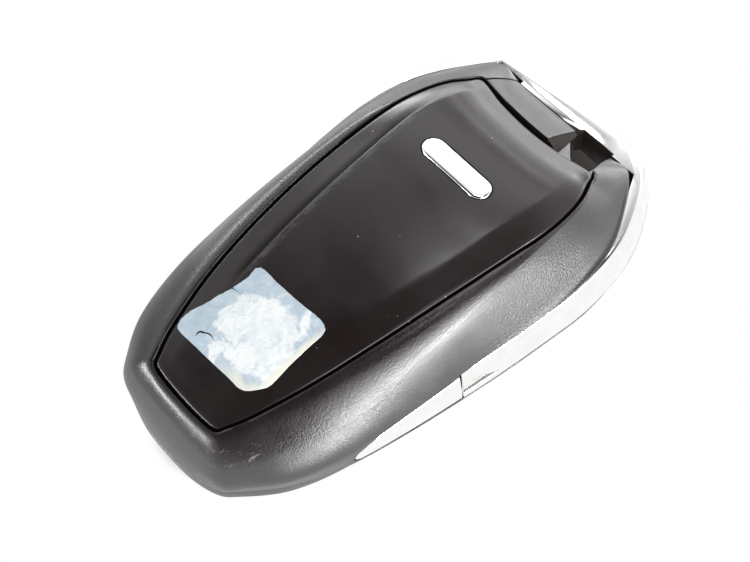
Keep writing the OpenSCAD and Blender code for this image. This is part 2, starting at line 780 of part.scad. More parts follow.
module key_blade() {
    half = blade_w / 2;
    tip = bow_y - blade_l;
    root = bow_y - bow_pad - 0.15;
    color("#a9abae")
        difference() {
            translate([0, 0, blade_z])
                linear_extrude(height = blade_t)
                    polygon([
                        [blade_x - 1, tip], [blade_x + 1, tip], [blade_x + half, tip + 2.6], [blade_x + half, root],
                        [blade_x + tang_w / 2, root], [blade_x + tang_w / 2, bow_y + tang_l],
                        [blade_x - tang_w / 2, bow_y + tang_l], [blade_x - tang_w / 2, root], [blade_x - half, root],
                        [blade_x - half, tip + 2.6]
                    ]);
            translate([0, 0, blade_z + blade_t - track_d])
                blade_track();
            translate([0, 0, blade_z - 1])
                blade_track();
            translate([blade_x, bow_y + tang_l / 2, blade_z - 1])
                cylinder(d = pin_d + 0.08, h = blade_t + 2);
        }
}

module blade_pin() {
    color("#8f9194")
        translate([blade_x, bow_y + tang_l / 2, bow_z + 0.05])
            cylinder(d = pin_d, h = bow_h - 1.4);
}

// Release slider

// The outside of the housings without their hollow
module filled_form() {
    capped_solid([smooth(seam_line), smooth(edge_line), smooth(flank_line), smooth(ridge_line), smooth(shoulder_line),
        smooth(groove_line)]);
}

// A block under the slider whose top follows the slope of the recess floor
module slider_tab(n, l, z, x, w) {
    root = slider_gap + 0.3;
    side_prism([[n, z], [n + l, z], [n + l, floor_h(n + l) + root], [n, floor_h(n) + root]], x, w);
}

// The sloping free end of the slider
module slider_ramp() {
    stops = [slider_at + 0.15, slider_end - 0.1];
    foot = [for (n = stops) floor_h(n) + slider_gap + 0.03];
    top = [foot[0] + 1.35, foot[1] + 0.15];
    wide = [ramp_w, 0.35 * ramp_w];
    points = [
        for (i = [0, 1])
            each [
                [slider_x - 0.4, along(stops[i]), foot[i]], [slider_x + wide[i], along(stops[i]), foot[i]],
                [slider_x - 0.1, along(stops[i]), top[i]], [slider_x - 0.4, along(stops[i]), top[i]]
            ]
    ];
    polyhedron(
        points = points,
        faces = concat(
            [[0, 2, 1], [0, 3, 2], [4, 5, 6], [4, 6, 7]],
            [for (i = [0:3]) let (j = (i + 1) % 4) each [[i, j + 4, i + 4], [i, j, j + 4]]]
        )
    );
}

module release_slider() {
    start = -recess_w(slider_at + 1) + slider_gap;
    inner_edge = [for (i = [0:6]) let (x = lerp(start, slider_x, i / 6)) [x, along(slider_at + slider_bow * x * x)]];
    color("#201f20")
        union() {
            difference() {
                intersection() {
                    filled_form();
                    plate(concat(inner_edge, [[slider_x, along(slider_end)], [slider_gap - recess_w(slider_end), along(slider_end)]]),
                        0, far);
                }
                side_prism([
                    [floor_at - 4, floor_in + slider_gap], [floor_at, floor_in + slider_gap],
                    [housing_l + 3, floor_h(housing_l + 3) + slider_gap], [housing_l + 3, -far], [floor_at - 4, -far]
                ], -far / 2, far);
            }
            slider_ramp();
            slider_tab(leg_at, leg_l, leg_z, leg_x, leg_w);
            slider_tab(spring_at - spring_d / 2, spring_d, spring_z - spring_d / 2, spring_x - spring_l - lug_w, lug_w);
        }
}

function coil_point(t, r) = [spring_x - spring_l + wire_d + (spring_l - 2 * wire_d) * t, r * cos(360 * coils * t), r * sin(360 * coils * t)];

module slider_spring() {
    r = (spring_d - wire_d) / 2;
    sides = 6;
    turns = coils * 8;
    rings = [
        for (i = [0:turns])
            let (t = i / turns, c = coil_point(t, r), a = 360 * coils * t)
            [
                for (j = [0:sides - 1])
                    c + wire_d / 2 * [sin(360 * j / sides), cos(360 * j / sides) * cos(a), cos(360 * j / sides) * sin(a)]
            ]
    ];
    last = sides * turns;
    color("#9a9c9f")
        translate([0, along(spring_at), spring_z])
            polyhedron(
                points = [for (ring = rings) each ring],
                faces = concat(
                    [for (i = [0:turns - 1]) each band(i, i + 1, sides)],
                    [for (j = [1:sides - 2]) [0, j, j + 1]],
                    [for (j = [1:sides - 2]) [last, last + j + 1, last + j]]
                )
            );
}

// Inside

module inner_chassis() {
    deck = [for (p = smooth(inset(groove_line, ledge_w + 0.3))) [p[0], p[1]]];
    window = antenna_w + 1;
    color("#3a3d40")
        difference() {
            union() {
                plate(deck, deck_z, deck_top - deck_z);
                block(blade_x - channel_w - channel_t, channel_end - channel_t, board_h + inside_gap,
                    [2 * (channel_w + channel_t), housing_l - end_block - inside_gap - channel_end + channel_t,
                        deck_z + 0.5 - board_h - inside_gap]);
            }
            block(blade_x - channel_w, channel_end, board_h - 1, [2 * channel_w, far, blade_z + blade_t + blade_gap - board_h + 1]);
            translate([0, along(cell_at), seat_h])
                cylinder(d = cell_d + 2 * cell_gap, h = far);
            block(-window / 2, antenna_at - 0.5, board_h, [window, window, antenna_h + 0.4]);
            block(-far / 2, housing_l - end_block - deck_gap, -1, [far, far, far]);
            contact_slots();
        }
}

module contact_slots() {
    slot = contact_t + 2 * inside_gap;
    reach = cell_d / 2 + cell_gap;
    translate([2.5 - inside_gap, along(cell_at) - 1.5 - inside_gap, seat_h - slot])
        cube([reach - 1.5 + slot, 3 + 2 * inside_gap, far]);
    translate([reach + 0.9, along(cell_at) - 1.5 - inside_gap, board_h])
        cube([slot, 3 + 2 * inside_gap, far]);
    translate([-reach - 0.3 - slot, along(cell_at) - 2 - inside_gap, board_h])
        cube([slot, 4 + 2 * inside_gap, far]);
}

module coin_cell() {
    r = cell_d / 2;
    color("#c3c5c7")
        translate([0, along(cell_at), seat_h])
            rotate_extrude()
                polygon([[0, 0], [r - 1.6, 0], [r - 1.5, 0.3], [r - 0.3, 0.3], [r, 0.6], [r, cell_t - 0.3],
                    [r - 0.3, cell_t], [0, cell_t]]);
}

module contact_negative() {
    leg_x1 = cell_d / 2 + cell_gap + 0.9 + inside_gap;
    low = seat_h - contact_t - inside_gap;
    color("#b59a52")
        translate([0, along(cell_at) - 1.5, 0])
            union() {
                translate([2.5, 0, low])
                    cube([leg_x1 + contact_t - 2.5, 3, contact_t]);
                translate([leg_x1, 0, board_h + inside_gap])
                    cube([contact_t, 3, low + contact_t - board_h - inside_gap]);
            }
}

module contact_positive() {
    leg_x1 = -cell_d / 2 - cell_gap - 0.3 - inside_gap - contact_t;
    high = seat_h + cell_t + inside_gap;
    color("#b59a52")
        translate([0, along(cell_at) - 2, 0])
            union() {
                translate([leg_x1, 0, high])
                    cube([4.2, 4, contact_t]);
                translate([leg_x1, 0, board_h + inside_gap])
                    cube([contact_t, 4, high + contact_t - board_h - inside_gap]);
            }
}

module circuit_board() {
    board = [for (p = smooth(inset(inner_line, 0.35))) [p[0], p[1]]];
    color("#1f5a3a")
        difference() {
            plate(board, board_z, board_t);
            locating_posts(post_r + 0.1, 0, far);
        }
}

module controller_chip() {
    side = 6;
    color("#18191b")
        block(4.5, housing_l - 44.4, board_h + inside_gap, [side, side, 0.9]);
}

module rf_crystal() {
    color("#b9bbbd")
        block(5.5, housing_l - 35.9, board_h + inside_gap, [3.2, 2.5, 0.8]);
}

module lf_antenna() {
    groove = 0.5;
    w = antenna_w;
    color("#2b2523")
        translate([-w / 2, along(antenna_at), board_h + inside_gap])
            difference() {
                cube([w, w, antenna_h]);
                for (x = [0.28, 0.72])
                    translate([w * x - 0.5, -1, antenna_h - groove])
                        cube([1, w + 2, 2 * groove]);
                for (y = [0.28, 0.72])
                    translate([-1, w * y - 0.5, antenna_h - groove])
                        cube([w + 2, 1, 2 * groove]);
            }
}

module tact_switch(i) {
    plunger = 0.15;
    color("#c9c7c0")
        translate([0, along(button_n(i)), board_z - switch_h])
            union() {
                cylinder(r = 1.2, h = switch_h - inside_gap);
                translate([-switch_w / 2, -switch_w / 2, plunger])
                    cube([switch_w, switch_w, switch_h - plunger - inside_gap]);
            }
}

module switch_unlock() {
    tact_switch(0);
}

module switch_boot() {
    tact_switch(1);
}

module switch_lock() {
    tact_switch(2);
}

module button_mat() {
    edge = button_w / 2 + flange_w + 1.6;
    length = 2 * (button_pitch + edge);
    middle = along(button_n(1));
    color("#8d8f90")
        translate([0, middle, 0])
            difference() {
                translate([-mat_w, -length / 2, front_t + inside_gap])
                    cube([2 * mat_w, length, mat_z + mat_t - front_t - inside_gap]);
                translate([-mat_w + mat_wall, -length / 2 + mat_wall, 0])
                    cube([2 * (mat_w - mat_wall), length - 2 * mat_wall, mat_z]);
            }
}

module front_button(i) {
    dish_r = 40;
    color("#2a292b")
        translate([0, along(button_n(i)), 0])
            difference() {
                union() {
                    translate([0, 0, button_recess])
                        stadium(button_l, button_w, front_t + inside_gap + flange_t - button_recess);
                    translate([0, 0, front_t + inside_gap])
                        stadium(button_l + 2 * flange_w, button_w + 2 * flange_w, flange_t);
                }
                translate([0, 0, button_recess + 0.25 - dish_r])
                    sphere(r = dish_r);
            }
}

module unlock_button() {
    front_button(0);
}

module boot_button() {
    front_button(1);
}

module lock_button() {
    front_button(2);
}

front_housing();
rear_housing();
rear_cover();
badge_inlay();
side_trim_left();
side_trim_right();
key_bow();
key_blade();
blade_pin();
release_slider();
slider_spring();
inner_chassis();
coin_cell();
contact_positive();
contact_negative();
circuit_board();
controller_chip();
lf_antenna();
rf_crystal();
switch_lock();
switch_boot();
switch_unlock();
button_mat();
lock_button();
boot_button();
unlock_button();
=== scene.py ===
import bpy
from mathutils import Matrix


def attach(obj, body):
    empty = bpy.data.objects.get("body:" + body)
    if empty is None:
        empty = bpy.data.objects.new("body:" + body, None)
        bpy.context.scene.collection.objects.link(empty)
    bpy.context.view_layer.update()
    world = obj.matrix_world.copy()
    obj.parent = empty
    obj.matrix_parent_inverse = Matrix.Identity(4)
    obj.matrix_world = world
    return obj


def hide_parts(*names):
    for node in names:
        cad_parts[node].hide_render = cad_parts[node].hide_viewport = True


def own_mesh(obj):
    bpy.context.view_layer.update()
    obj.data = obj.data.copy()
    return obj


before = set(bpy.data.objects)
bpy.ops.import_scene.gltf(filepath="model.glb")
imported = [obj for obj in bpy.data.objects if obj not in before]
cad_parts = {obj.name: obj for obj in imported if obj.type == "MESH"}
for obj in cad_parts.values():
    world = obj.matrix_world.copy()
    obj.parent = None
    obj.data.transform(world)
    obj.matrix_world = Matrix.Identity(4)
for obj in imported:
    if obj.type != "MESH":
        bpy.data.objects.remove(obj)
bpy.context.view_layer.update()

import contextlib
import math

import bmesh
import bpy
import numpy as np
from mathutils import Matrix, Vector, geometry, noise
from mathutils.bvhtree import BVHTree
from mathutils.kdtree import KDTree

# Sizes of the part in millimetres

HOUSING_L, HOUSING_W, FLARE, SEAM_H, WALL, FRONT_T = 70.4, 40.1, 1.5, 2.6, 1.6, 1.4
FRONT_TUCK, END_BLOCK, FLANK_SWELL = 1.1, 9.0, 0.25
COVER_END, COVER_W, COVER_SETBACK, COVER_T, COVER_GAP, SEAT_GAP = 6.1, 27.76, 3.8, 1.5, 0.35, 0.15
GROOVE_H, ARCH, CROWN, LEDGE_W, LEDGE_T = 11.8, 4.15, 1.3, 1.4, 1.2
RIB_R, RIB_T, RIB_CLEAR = 6.0, 1.0, 1.1
BADGE_L, BADGE_W, BADGE_T, BADGE_PROUD, BADGE_BACK = 11.5, 3.4, 0.9, 0.12, 20.5
BOW_BAR, BOW_GAP, BOW_PAD, BOW_H, ARM_T, ARM_AT, ARM_SLANT = 4.6, 0.4, 0.9, 4.9, 2.55, 32.4, 0.5
NAIL_L, NAIL_D, NAIL_H, SLIDE_GAP, RAIL_H, RAIL_D = 5.6, 0.24, 2.7, 0.15, 1.0, 0.6
PAD_LIP, HORN_LIP = 0.05, 0.36
BLADE_W, BLADE_T, BLADE_X, BLADE_Z, BLADE_GAP = 7.0, 1.7, -3.0, 4.85, 0.15
TANG_W, TANG_L, PIN_D = 5.0, 2.6, 1.4
TRIM_AT, TRIM_LIFT, TRIM_DROP, TIP_L, TIP_H, TIP_SLOPE, TIP_ROUND = 16.4, 0.35, 0.3, 3.0, 2.7, 0.6, 0.65
TRIM_SEAT, TONGUE_L, TONGUE_T = 0.9, 5.0, 0.6
SLIDER_L, RELEASE_TRAVEL, SLIDER_GAP, RAMP_W = 12.4, 4.0, 0.2, 1.75
RECESS_IN, RECESS_OUT, FLOOR_IN, FLOOR_OUT, SPRING_D = 20.2, 17.3, 10.0, 7.05, 1.7
BUTTON_L, BUTTON_W, BUTTON_PITCH, BUTTON_BACK, BUTTON_RECESS, BUTTON_GAP = 14.0, 9.0, 14.0, 33.0, 0.3, 0.15
FLANGE_W, FLANGE_T, INSIDE_GAP = 0.6, 0.5, 0.05
CELL_BACK, CELL_T, SEAT_H = 28.0, 3.2, 9.0

OVERALL_L = HOUSING_L + BOW_GAP + BOW_BAR
COVER_L = HOUSING_L - COVER_SETBACK - COVER_END
NARROW_Y = -OVERALL_L / 2
BOW_Y = NARROW_Y + HOUSING_L + BOW_GAP
NECK_W = HOUSING_W / 2 - ARM_T
INNER_W = NECK_W - WALL
SEAM_W = HOUSING_W / 2 + FLARE
EDGE_SETBACK, INNER_SETBACK = 0.3, 2.0
EDGE_L = HOUSING_L - 2 * EDGE_SETBACK
INNER_L = HOUSING_L - INNER_SETBACK - END_BLOCK
POCKET_D = COVER_T + SEAT_GAP
SHOULDER_AT, HORN_W = HOUSING_L - 9.9, 12.55
BOW_Z = SEAM_H + SLIDE_GAP
CHANNEL_TOP = BOW_Z + BOW_H + SLIDE_GAP
BOW_TAPER, BOW_FOOT_R, BOW_TOP_R, BOW_SWELL = 1.3, 0.45, 0.6, 0.15
RAIL_Z = BOW_Z + BOW_H / 2 - RAIL_H / 2
RECESS_AT = COVER_SETBACK + COVER_L
RECESS_START, FLOOR_AT, SLIDER_AT = RECESS_AT - 1.7, RECESS_AT - 0.6, RECESS_AT - 0.7
SLIDER_X = SLIDER_L - RECESS_IN / 2 + SLIDER_GAP + 0.1
SLIDER_BOW, SLIDER_END = 0.008, HOUSING_L - 0.8
LEG_W, LEG_AT, LEG_L, LEG_X, LEG_Z = 1.7, SLIDER_AT + 2.7, 1.5, -RECESS_IN / 2 + 1.5, BLADE_Z + BLADE_T + 2 * BLADE_GAP
LUG_W, SPRING_L, SPRING_X, SPRING_AT, SPRING_Z = 0.7, 6.8, SLIDER_X - 0.35, SLIDER_AT + 1.3, FLOOR_IN - 2
WIRE_D, COILS, PRESS_GAP = 0.25, 7, 0.04
EYE_X, EYE_AT, EYE_REACH, EYE_DEPTH = SLIDER_X + 0.3, RECESS_AT + 0.3, 3.3, 3.6
CHANNEL_W = BLADE_W / 2 + BLADE_GAP
FAR = 100.0

# Half outlines from the middle of the narrow end to the middle of the key end, as shares of half width and length

GROOVE_SHAPE = [
    [0, 0], [0.27, 0.002], [0.424, 0.009], [0.484, 0.031], [0.581, 0.084], [0.729, 0.208], [0.841, 0.357],
    [0.926, 0.522], [0.984, 0.688], [1, 0.803], [0.942, 0.902], [0.837, 0.965], [0.729, 1], [0.39, 0.984], [0, 0.977],
]
EDGE_SHAPE = [
    [0, 0, 0.24], [0.26, 0.003, 0.24], [0.474, 0.0175, 0.24], [0.584, 0.05, 0.283], [0.753, 0.12, 0.38],
    [0.865, 0.232, 0.462], [0.916, 0.373, 0.516], [0.955, 0.517, 0.554], [0.995, 0.66, 0.576], [0.995, 0.754, 0.587],
    [0.933, 0.847, 0.598], [0.788, 0.928, 0.63], [0.605, 0.994, 0.66], [0.424, 0.997, 0.565], [0, 0.9964, 0.554],
]
SEAM_SHAPE = [
    [0, 0], [0.213, 0.0035], [0.387, 0.019], [0.482, 0.045], [0.65, 0.118], [0.775, 0.214], [0.863, 0.342], [0.943, 0.517],
    [0.986, 0.659], [1, 0.758], [0.945, 0.855], [0.787, 0.935], [0.593, 0.998], [0.398, 0.997], [0, 0.994],
]
INNER_SHAPE = [
    [0, 0], [0.314, 0.002], [0.541, 0.02], [0.667, 0.061], [0.855, 0.128], [0.975, 0.245], [1, 0.377], [1, 0.562],
    [1, 0.731], [1, 0.845], [0.985, 0.925], [0.87, 0.975], [0.69, 0.995], [0.35, 1], [0, 1],
]
BOW_SHAPE = [
    [0, 0], [0.306, 0.002], [0.5, 0.016], [0.611, 0.052], [0.769, 0.118], [0.847, 0.224], [0.884, 0.35], [0.944, 0.483],
    [0.986, 0.615], [1, 0.708], [0.954, 0.814], [0.826, 0.9], [0.63, 0.972], [0.37, 0.997], [0, 1],
]
RIDGE_SHAPE = [
    [0.457, 1.6], [0.43, 1.6], [0.39, 1.6], [0.42, 1.4], [0.414, 0.9], [0.5, 1.25], [0.585, 2.1], [0.438, 1.86],
    [0.209, 1.03], [0.086, 0.15], [0.07, 0.1], [0.095, 0.1], [0.12, 0.1], [0.07, 0.1], [0.07, 0.1],
]
SHOULDER_SHAPE = [0.4, 0.4, 0.4, 0.5, 0.6, 0.64, 0.6, 0.5, 0.27, 0.04, 0.025, 0.025, 0.025, 0.025, 0.025]
COVE_SHAPE = [0, 0, 0, 0, 0, 0, 0, 0.08, 0.3, 0.45, 0.45, 0.3, 0, 0, 0]
COVE_PROFILE = [
    (0, 0), (0.05, 0.5), (0.1, 0.9), (0.16, 1), (0.24, 0.8), (0.34, 0.4), (0.5, 0), (0.7, 0), (0.86, 0), (0.96, 0),
]
FLANK_SHAPE = [1, 1.5, 3.5, 4.4, 4, 2.6, 1.4] + [1] * 8
FRONT_SHAPE = [0, 0, 0, 0, 0, 0.4, 1, 1, 1, 1, 1, 1, 0.6, 0, 0]
CROWN_SHAPE = [
    [0, 0.04], [0.14, 0.47], [0.31, 0.61], [0.45, 0.66], [0.64, 0.85], [0.77, 1.17], [0.86, 1.14], [0.94, 0.62], [1, 0.05],
]
# Outline of the torn label on the cover, as [across, distance from the narrow end]
LABEL_OUTLINE = [
    [-5.97, 20.79], [-5.55, 21.32], [-4.91, 21.47], [-3.87, 21.47], [-2.51, 21.45], [-1.15, 21.52], [0.21, 21.57],
    [1.5, 21.68], [2.74, 21.82], [3.96, 21.98], [4.89, 22.03], [5.63, 21.91], [6.12, 21.62], [6.37, 21.0], [6.43, 20.17],
    [6.4, 19.17], [6.41, 18.13], [6.46, 17.23], [6.46, 16.29], [6.5, 15.32], [6.58, 14.4], [6.65, 13.48], [6.67, 12.69],
    [6.54, 11.96], [6.0, 11.14], [5.38, 10.31], [4.77, 9.8], [4.09, 9.6], [3.02, 9.57], [1.84, 9.53], [0.5, 9.44],
    [-0.85, 9.36], [-2.21, 9.27], [-3.54, 9.24], [-4.93, 9.16], [-6.28, 9.11], [-7.05, 9.2], [-7.5, 9.55], [-7.7, 10.05],
    [-7.75, 10.7], [-7.72, 11.63], [-7.4, 12.57], [-7.07, 13.33], [-6.83, 14.09], [-6.65, 14.99], [-6.37, 15.99],
    [-6.02, 17.02], [-4.6, 17.42], [-5.98, 17.2], [-5.85, 18.34], [-5.73, 19.46], [-5.89, 20.11],
]
# Crescent tear in the label
LABEL_TEAR = [
    [-4.43, 10.06], [-4.75, 10.35], [-4.8, 10.65], [-4.55, 11.0], [-4.1, 11.1], [-3.75, 11.42], [-3.2, 11.5], [-2.3, 11.25],
    [-3.15, 11.32], [-3.65, 11.2], [-4.05, 10.86], [-4.4, 10.72], [-4.55, 10.45],
]


# Curves

def along(n):
    return NARROW_Y + n


def closed(half):
    half = np.asarray(half, float)
    back = half[-2:0:-1].copy()
    back[:, 0] *= -1
    return np.vstack([half, back])


def around(half):
    """A column of values for the whole outline from those of its half."""
    return closed([[0, k] for k in half])[:, 1:]


def spline(a, b, c, d, t):
    """The smooth curve from b to c, with a before them and d after them."""
    return 0.5 * (2 * b + (c - a) * t + (2 * a - 5 * b + 4 * c - d) * t**2 + (3 * b - a - 3 * c + d) * t**3)


def on_curve(c, s):
    """Points of the smooth closed curve through c at the real indices s."""
    s = np.atleast_1d(np.asarray(s, float))
    k = np.floor(s).astype(int)
    return spline(*(c[(k + i) % len(c)] for i in (-1, 0, 1, 2)), (s - k)[:, None])


def fine(c, steps=12):
    return on_curve(c, np.arange(len(c) * steps) / steps)


def inset(c, d):
    """The outline moved inwards, level, by one distance or by one for each point."""
    t = np.roll(c, -1, 0) - np.roll(c, 1, 0)
    m = np.hypot(t[:, 0], t[:, 1])
    side = np.stack([t[:, 1] / m, -t[:, 0] / m, np.zeros(len(c))], 1)
    return c - side * np.reshape(np.broadcast_to(d, len(c)), (-1, 1))


def lower(c, d):
    return c - np.array([0, 0, d])


def level(c, z):
    return np.column_stack([c[:, :2], np.full(len(c), z)])


def lerp(a, b, t):
    return a + (b - a) * t


def outline(shape, half_w, at, length, z):
    return closed([[p[0] * half_w, along(at + p[1] * length), z] for p in shape])


def eased(table, v):
    table = np.asarray(table, float)
    v = np.asarray(v, float)
    last = len(table) - 2
    k = np.clip(np.searchsorted(table[:, 0], v, "right") - 1, 0, last)
    t = (v - table[k, 0]) / (table[k + 1, 0] - table[k, 0])
    return spline(*(table[np.clip(k + i, 0, last + 1), 1] for i in (-1, 0, 1, 2)), t)


def through(a, b, c, t):
    """The ring at t on the parabola through three rings."""
    return a * (1 - t) * (1 - 2 * t) + b * 4 * t * (1 - t) + c * t * (2 * t - 1)


# Outlines of the housing

def at_arch(v):
    return GROOVE_H + ARCH * (1 - (2 * v - 1) ** 2)


GROOVE = closed([[p[0] * COVER_W / 2, along(COVER_SETBACK + p[1] * COVER_L), at_arch(p[1])] for p in GROOVE_SHAPE])
EDGE = closed([
    [p[0] * HOUSING_W / 2, along(EDGE_SETBACK + p[1] * EDGE_L), SEAM_H + p[2] * (GROOVE_H - SEAM_H)] for p in EDGE_SHAPE
])
SEAM = outline(SEAM_SHAPE, SEAM_W, 0, HOUSING_L, SEAM_H)
INNER = outline(INNER_SHAPE, INNER_W, INNER_SETBACK, INNER_L, SEAM_H)
UP = np.array([[0, 0, 1.0]])
RIDGE = lerp(GROOVE, EDGE, around([p[0] for p in RIDGE_SHAPE])) + around([p[1] for p in RIDGE_SHAPE]) * UP
FLANK = inset(lerp(EDGE, RIDGE, 0.5), -FLANK_SWELL * around(FLANK_SHAPE)[:, 0])
SHOULDER = lerp(RIDGE, GROOVE, 0.5) + around(SHOULDER_SHAPE) * UP
LEDGE = lower(inset(GROOVE, LEDGE_W), POCKET_D)
INNER_TOP = np.column_stack([INNER[:, :2], EDGE[:, 2] + 0.4])
TUCK = around(FRONT_SHAPE)[:, 0]


def front_ring(d, z):
    return level(inset(SEAM, d + FRONT_TUCK * TUCK), z)


def recess_w(n):
    return lerp(RECESS_IN / 2, RECESS_OUT / 2, max(0, (n - RECESS_AT) / (HOUSING_L - RECESS_AT)))


def floor_h(n):
    return lerp(FLOOR_IN, FLOOR_OUT, (n - FLOOR_AT) / (HOUSING_L - FLOOR_AT))


# Meshes

@contextlib.contextmanager
def editing(mesh):
    """The mesh opened as a bmesh, which is written back at the end."""
    bm = bmesh.new()
    bm.from_mesh(mesh)
    yield bm
    bm.to_mesh(mesh)
    bm.free()


def linked(name, data):
    obj = bpy.data.objects.new(name, data)
    bpy.context.scene.collection.objects.link(obj)
    return obj


def new_object(name, verts, faces, marks=None):
    mesh = bpy.data.meshes.new(name)
    mesh.from_pydata([tuple(map(float, v)) for v in verts], [], faces)
    if marks is not None:
        mesh.polygons.foreach_set("material_index", np.asarray(marks, np.int32))
    with editing(mesh) as bm:
        bmesh.ops.recalc_face_normals(bm, faces=bm.faces)
    return linked(name, mesh)


def ring_solid(name, rings, loop=False, marks=None):
    """A solid through rings of points, closed as a tube or by flat ends. marks gives each band's material index."""
    n, m = len(rings[0]), len(rings)
    faces, index = [], []
    for i in range(m if loop else m - 1):
        a, b = i * n, ((i + 1) % m) * n
        faces += [(a + k, a + (k + 1) % n, b + (k + 1) % n, b + k) for k in range(n)]
        index += [marks[i] if marks else 0] * n
    if not loop:
        faces += [tuple(range(n - 1, -1, -1)), tuple(range((m - 1) * n, m * n))]
        index += [index[0], index[-1]]
    return new_object(name, np.vstack(rings), faces, index)


def prism(points, z0, z1, mark=0):
    return ring_solid("cutter", [[(x, y, z) for x, y in points] for z in (z0, z1)], marks=[mark])


def side_prism(profile, x0=-FAR / 2, x1=FAR / 2, mark=0):
    """A prism along X of a profile given as [place along the fob, height]."""
    return ring_solid("cutter", [[(x, along(p), z) for p, z in profile] for x in (x0, x1)], marks=[mark])


def block(x, n, z, size, mark=0):
    y = along(n)
    return prism([(x, y), (x + size[0], y), (x + size[0], y + size[1]), (x, y + size[1])], z, z + size[2], mark)


def bar(side, x0, x1, n, z, l, h, mark=0):
    """A block on one side of the part, from x0 outwards to x1."""
    return block(min(side * x0, side * x1), n, z, (x1 - x0, l, h), mark)


def quarter(n):
    """Cosines and sines of n angles from 0 to 90 degrees."""
    a = np.linspace(0, math.pi / 2, n)
    return zip(np.cos(a), np.sin(a))


def circle(n):
    a = np.linspace(0, 2 * math.pi, n, endpoint=False)
    return np.cos(a), np.sin(a)


def stadium(l, w, n):
    a = np.linspace(-math.pi / 2, math.pi / 2, n)
    right = np.stack([(l - w) / 2 + np.cos(a) * w / 2, np.sin(a) * w / 2], 1)
    return np.vstack([right, -right])


def stadium_ring(l, w, z, g=0.0):
    """The outline of a bar with round ends at a height, grown by g."""
    return np.column_stack([stadium(l + 2 * g, w + 2 * g, 24), np.full(48, z)])


def settle(obj):
    """Puts the result of the modifiers into the mesh."""
    graph = bpy.context.evaluated_depsgraph_get()
    mesh = bpy.data.meshes.new_from_object(obj.evaluated_get(graph))
    obj.modifiers.clear()
    obj.data = mesh


def carve(obj, *cutters, operation="DIFFERENCE"):
    for cutter in cutters:
        m = obj.modifiers.new("carve", "BOOLEAN")
        m.operation, m.object, m.solver = operation, cutter, "EXACT"
        settle(obj)
        bpy.data.objects.remove(cutter)
    return obj


def tidy(obj, distance=0.012):
    """Merges close points and splits faces of many corners, so that rounded edges can't fold them over a hole."""
    with editing(obj.data) as bm:
        bmesh.ops.remove_doubles(bm, verts=bm.verts, dist=distance)
        bmesh.ops.dissolve_degenerate(bm, dist=distance, edges=bm.edges)
        bmesh.ops.triangulate(bm, faces=[f for f in bm.faces if len(f.verts) > 8], ngon_method="EAR_CLIP")


def soften(obj, width, angle=40, segments=2):
    """Rounds the edges sharper than the angle."""
    tidy(obj)
    m = obj.modifiers.new("edges", "BEVEL")
    m.width, m.segments, m.limit_method, m.angle_limit = width, segments, "ANGLE", math.radians(angle)
    m.use_clamp_overlap = False
    settle(obj)


def place(obj, body, materials, node=None, angle=35):
    """Scales a finished piece to metres, shades it and hands it to its body."""
    obj.data.transform(Matrix.Scale(0.001, 4))
    index = np.zeros(len(obj.data.polygons), np.int32)
    obj.data.polygons.foreach_get("material_index", index)
    obj.data.materials.clear()
    for m in materials:
        obj.data.materials.append(m)
    obj.data.polygons.foreach_set("material_index", np.minimum(index, len(materials) - 1))
    obj.data.shade_smooth()
    obj.data.set_sharp_from_angle(angle=math.radians(angle))
    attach(obj, body)
    if node:
        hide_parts(node)
    return obj


# Materials

class Nodes:
    """Adds nodes to a tree. Inputs are given by name or number, each as a value or as the socket to link."""

    def __init__(self, tree):
        self.tree = tree

    def put(self, socket, value):
        if isinstance(value, bpy.types.NodeSocket):
            self.tree.links.new(value, socket)
        else:
            socket.default_value = value

    def add(self, kind, inputs=(), out=0, **settings):
        n = self.tree.nodes.new("ShaderNode" + kind)
        for key, value in settings.items():
            setattr(n, key, value)
        for key, value in dict(inputs).items():
            self.put(n.inputs[key], value)
        return n.outputs[out]

    def ray(self, kind):
        return self.add("LightPath", out=f"Is {kind} Ray")

    def span(self, value, low, high, to_low=0.0, to_high=1.0):
        """Smoothly from to_low to to_high as the value goes from low to high."""
        return self.add("MapRange", {
            "Value": value, "From Min": low, "From Max": high, "To Min": to_low, "To Max": to_high,
        }, "Result", interpolation_type="SMOOTHSTEP")

    def fall(self, value, low, high):
        return self.span(value, low, high, to_low=1.0, to_high=0.0)

    def math(self, operation, first, *others):
        for value in others or (0.0,):
            first = self.add("Math", {0: first, 1: value}, operation=operation)
        return first

    def plus(self, *values):
        return self.math("ADD", *values)

    def minus(self, a, b):
        return self.math("SUBTRACT", a, b)

    def times(self, *values):
        return self.math("MULTIPLY", *values)

    def most(self, *values):
        return self.math("MAXIMUM", *values)


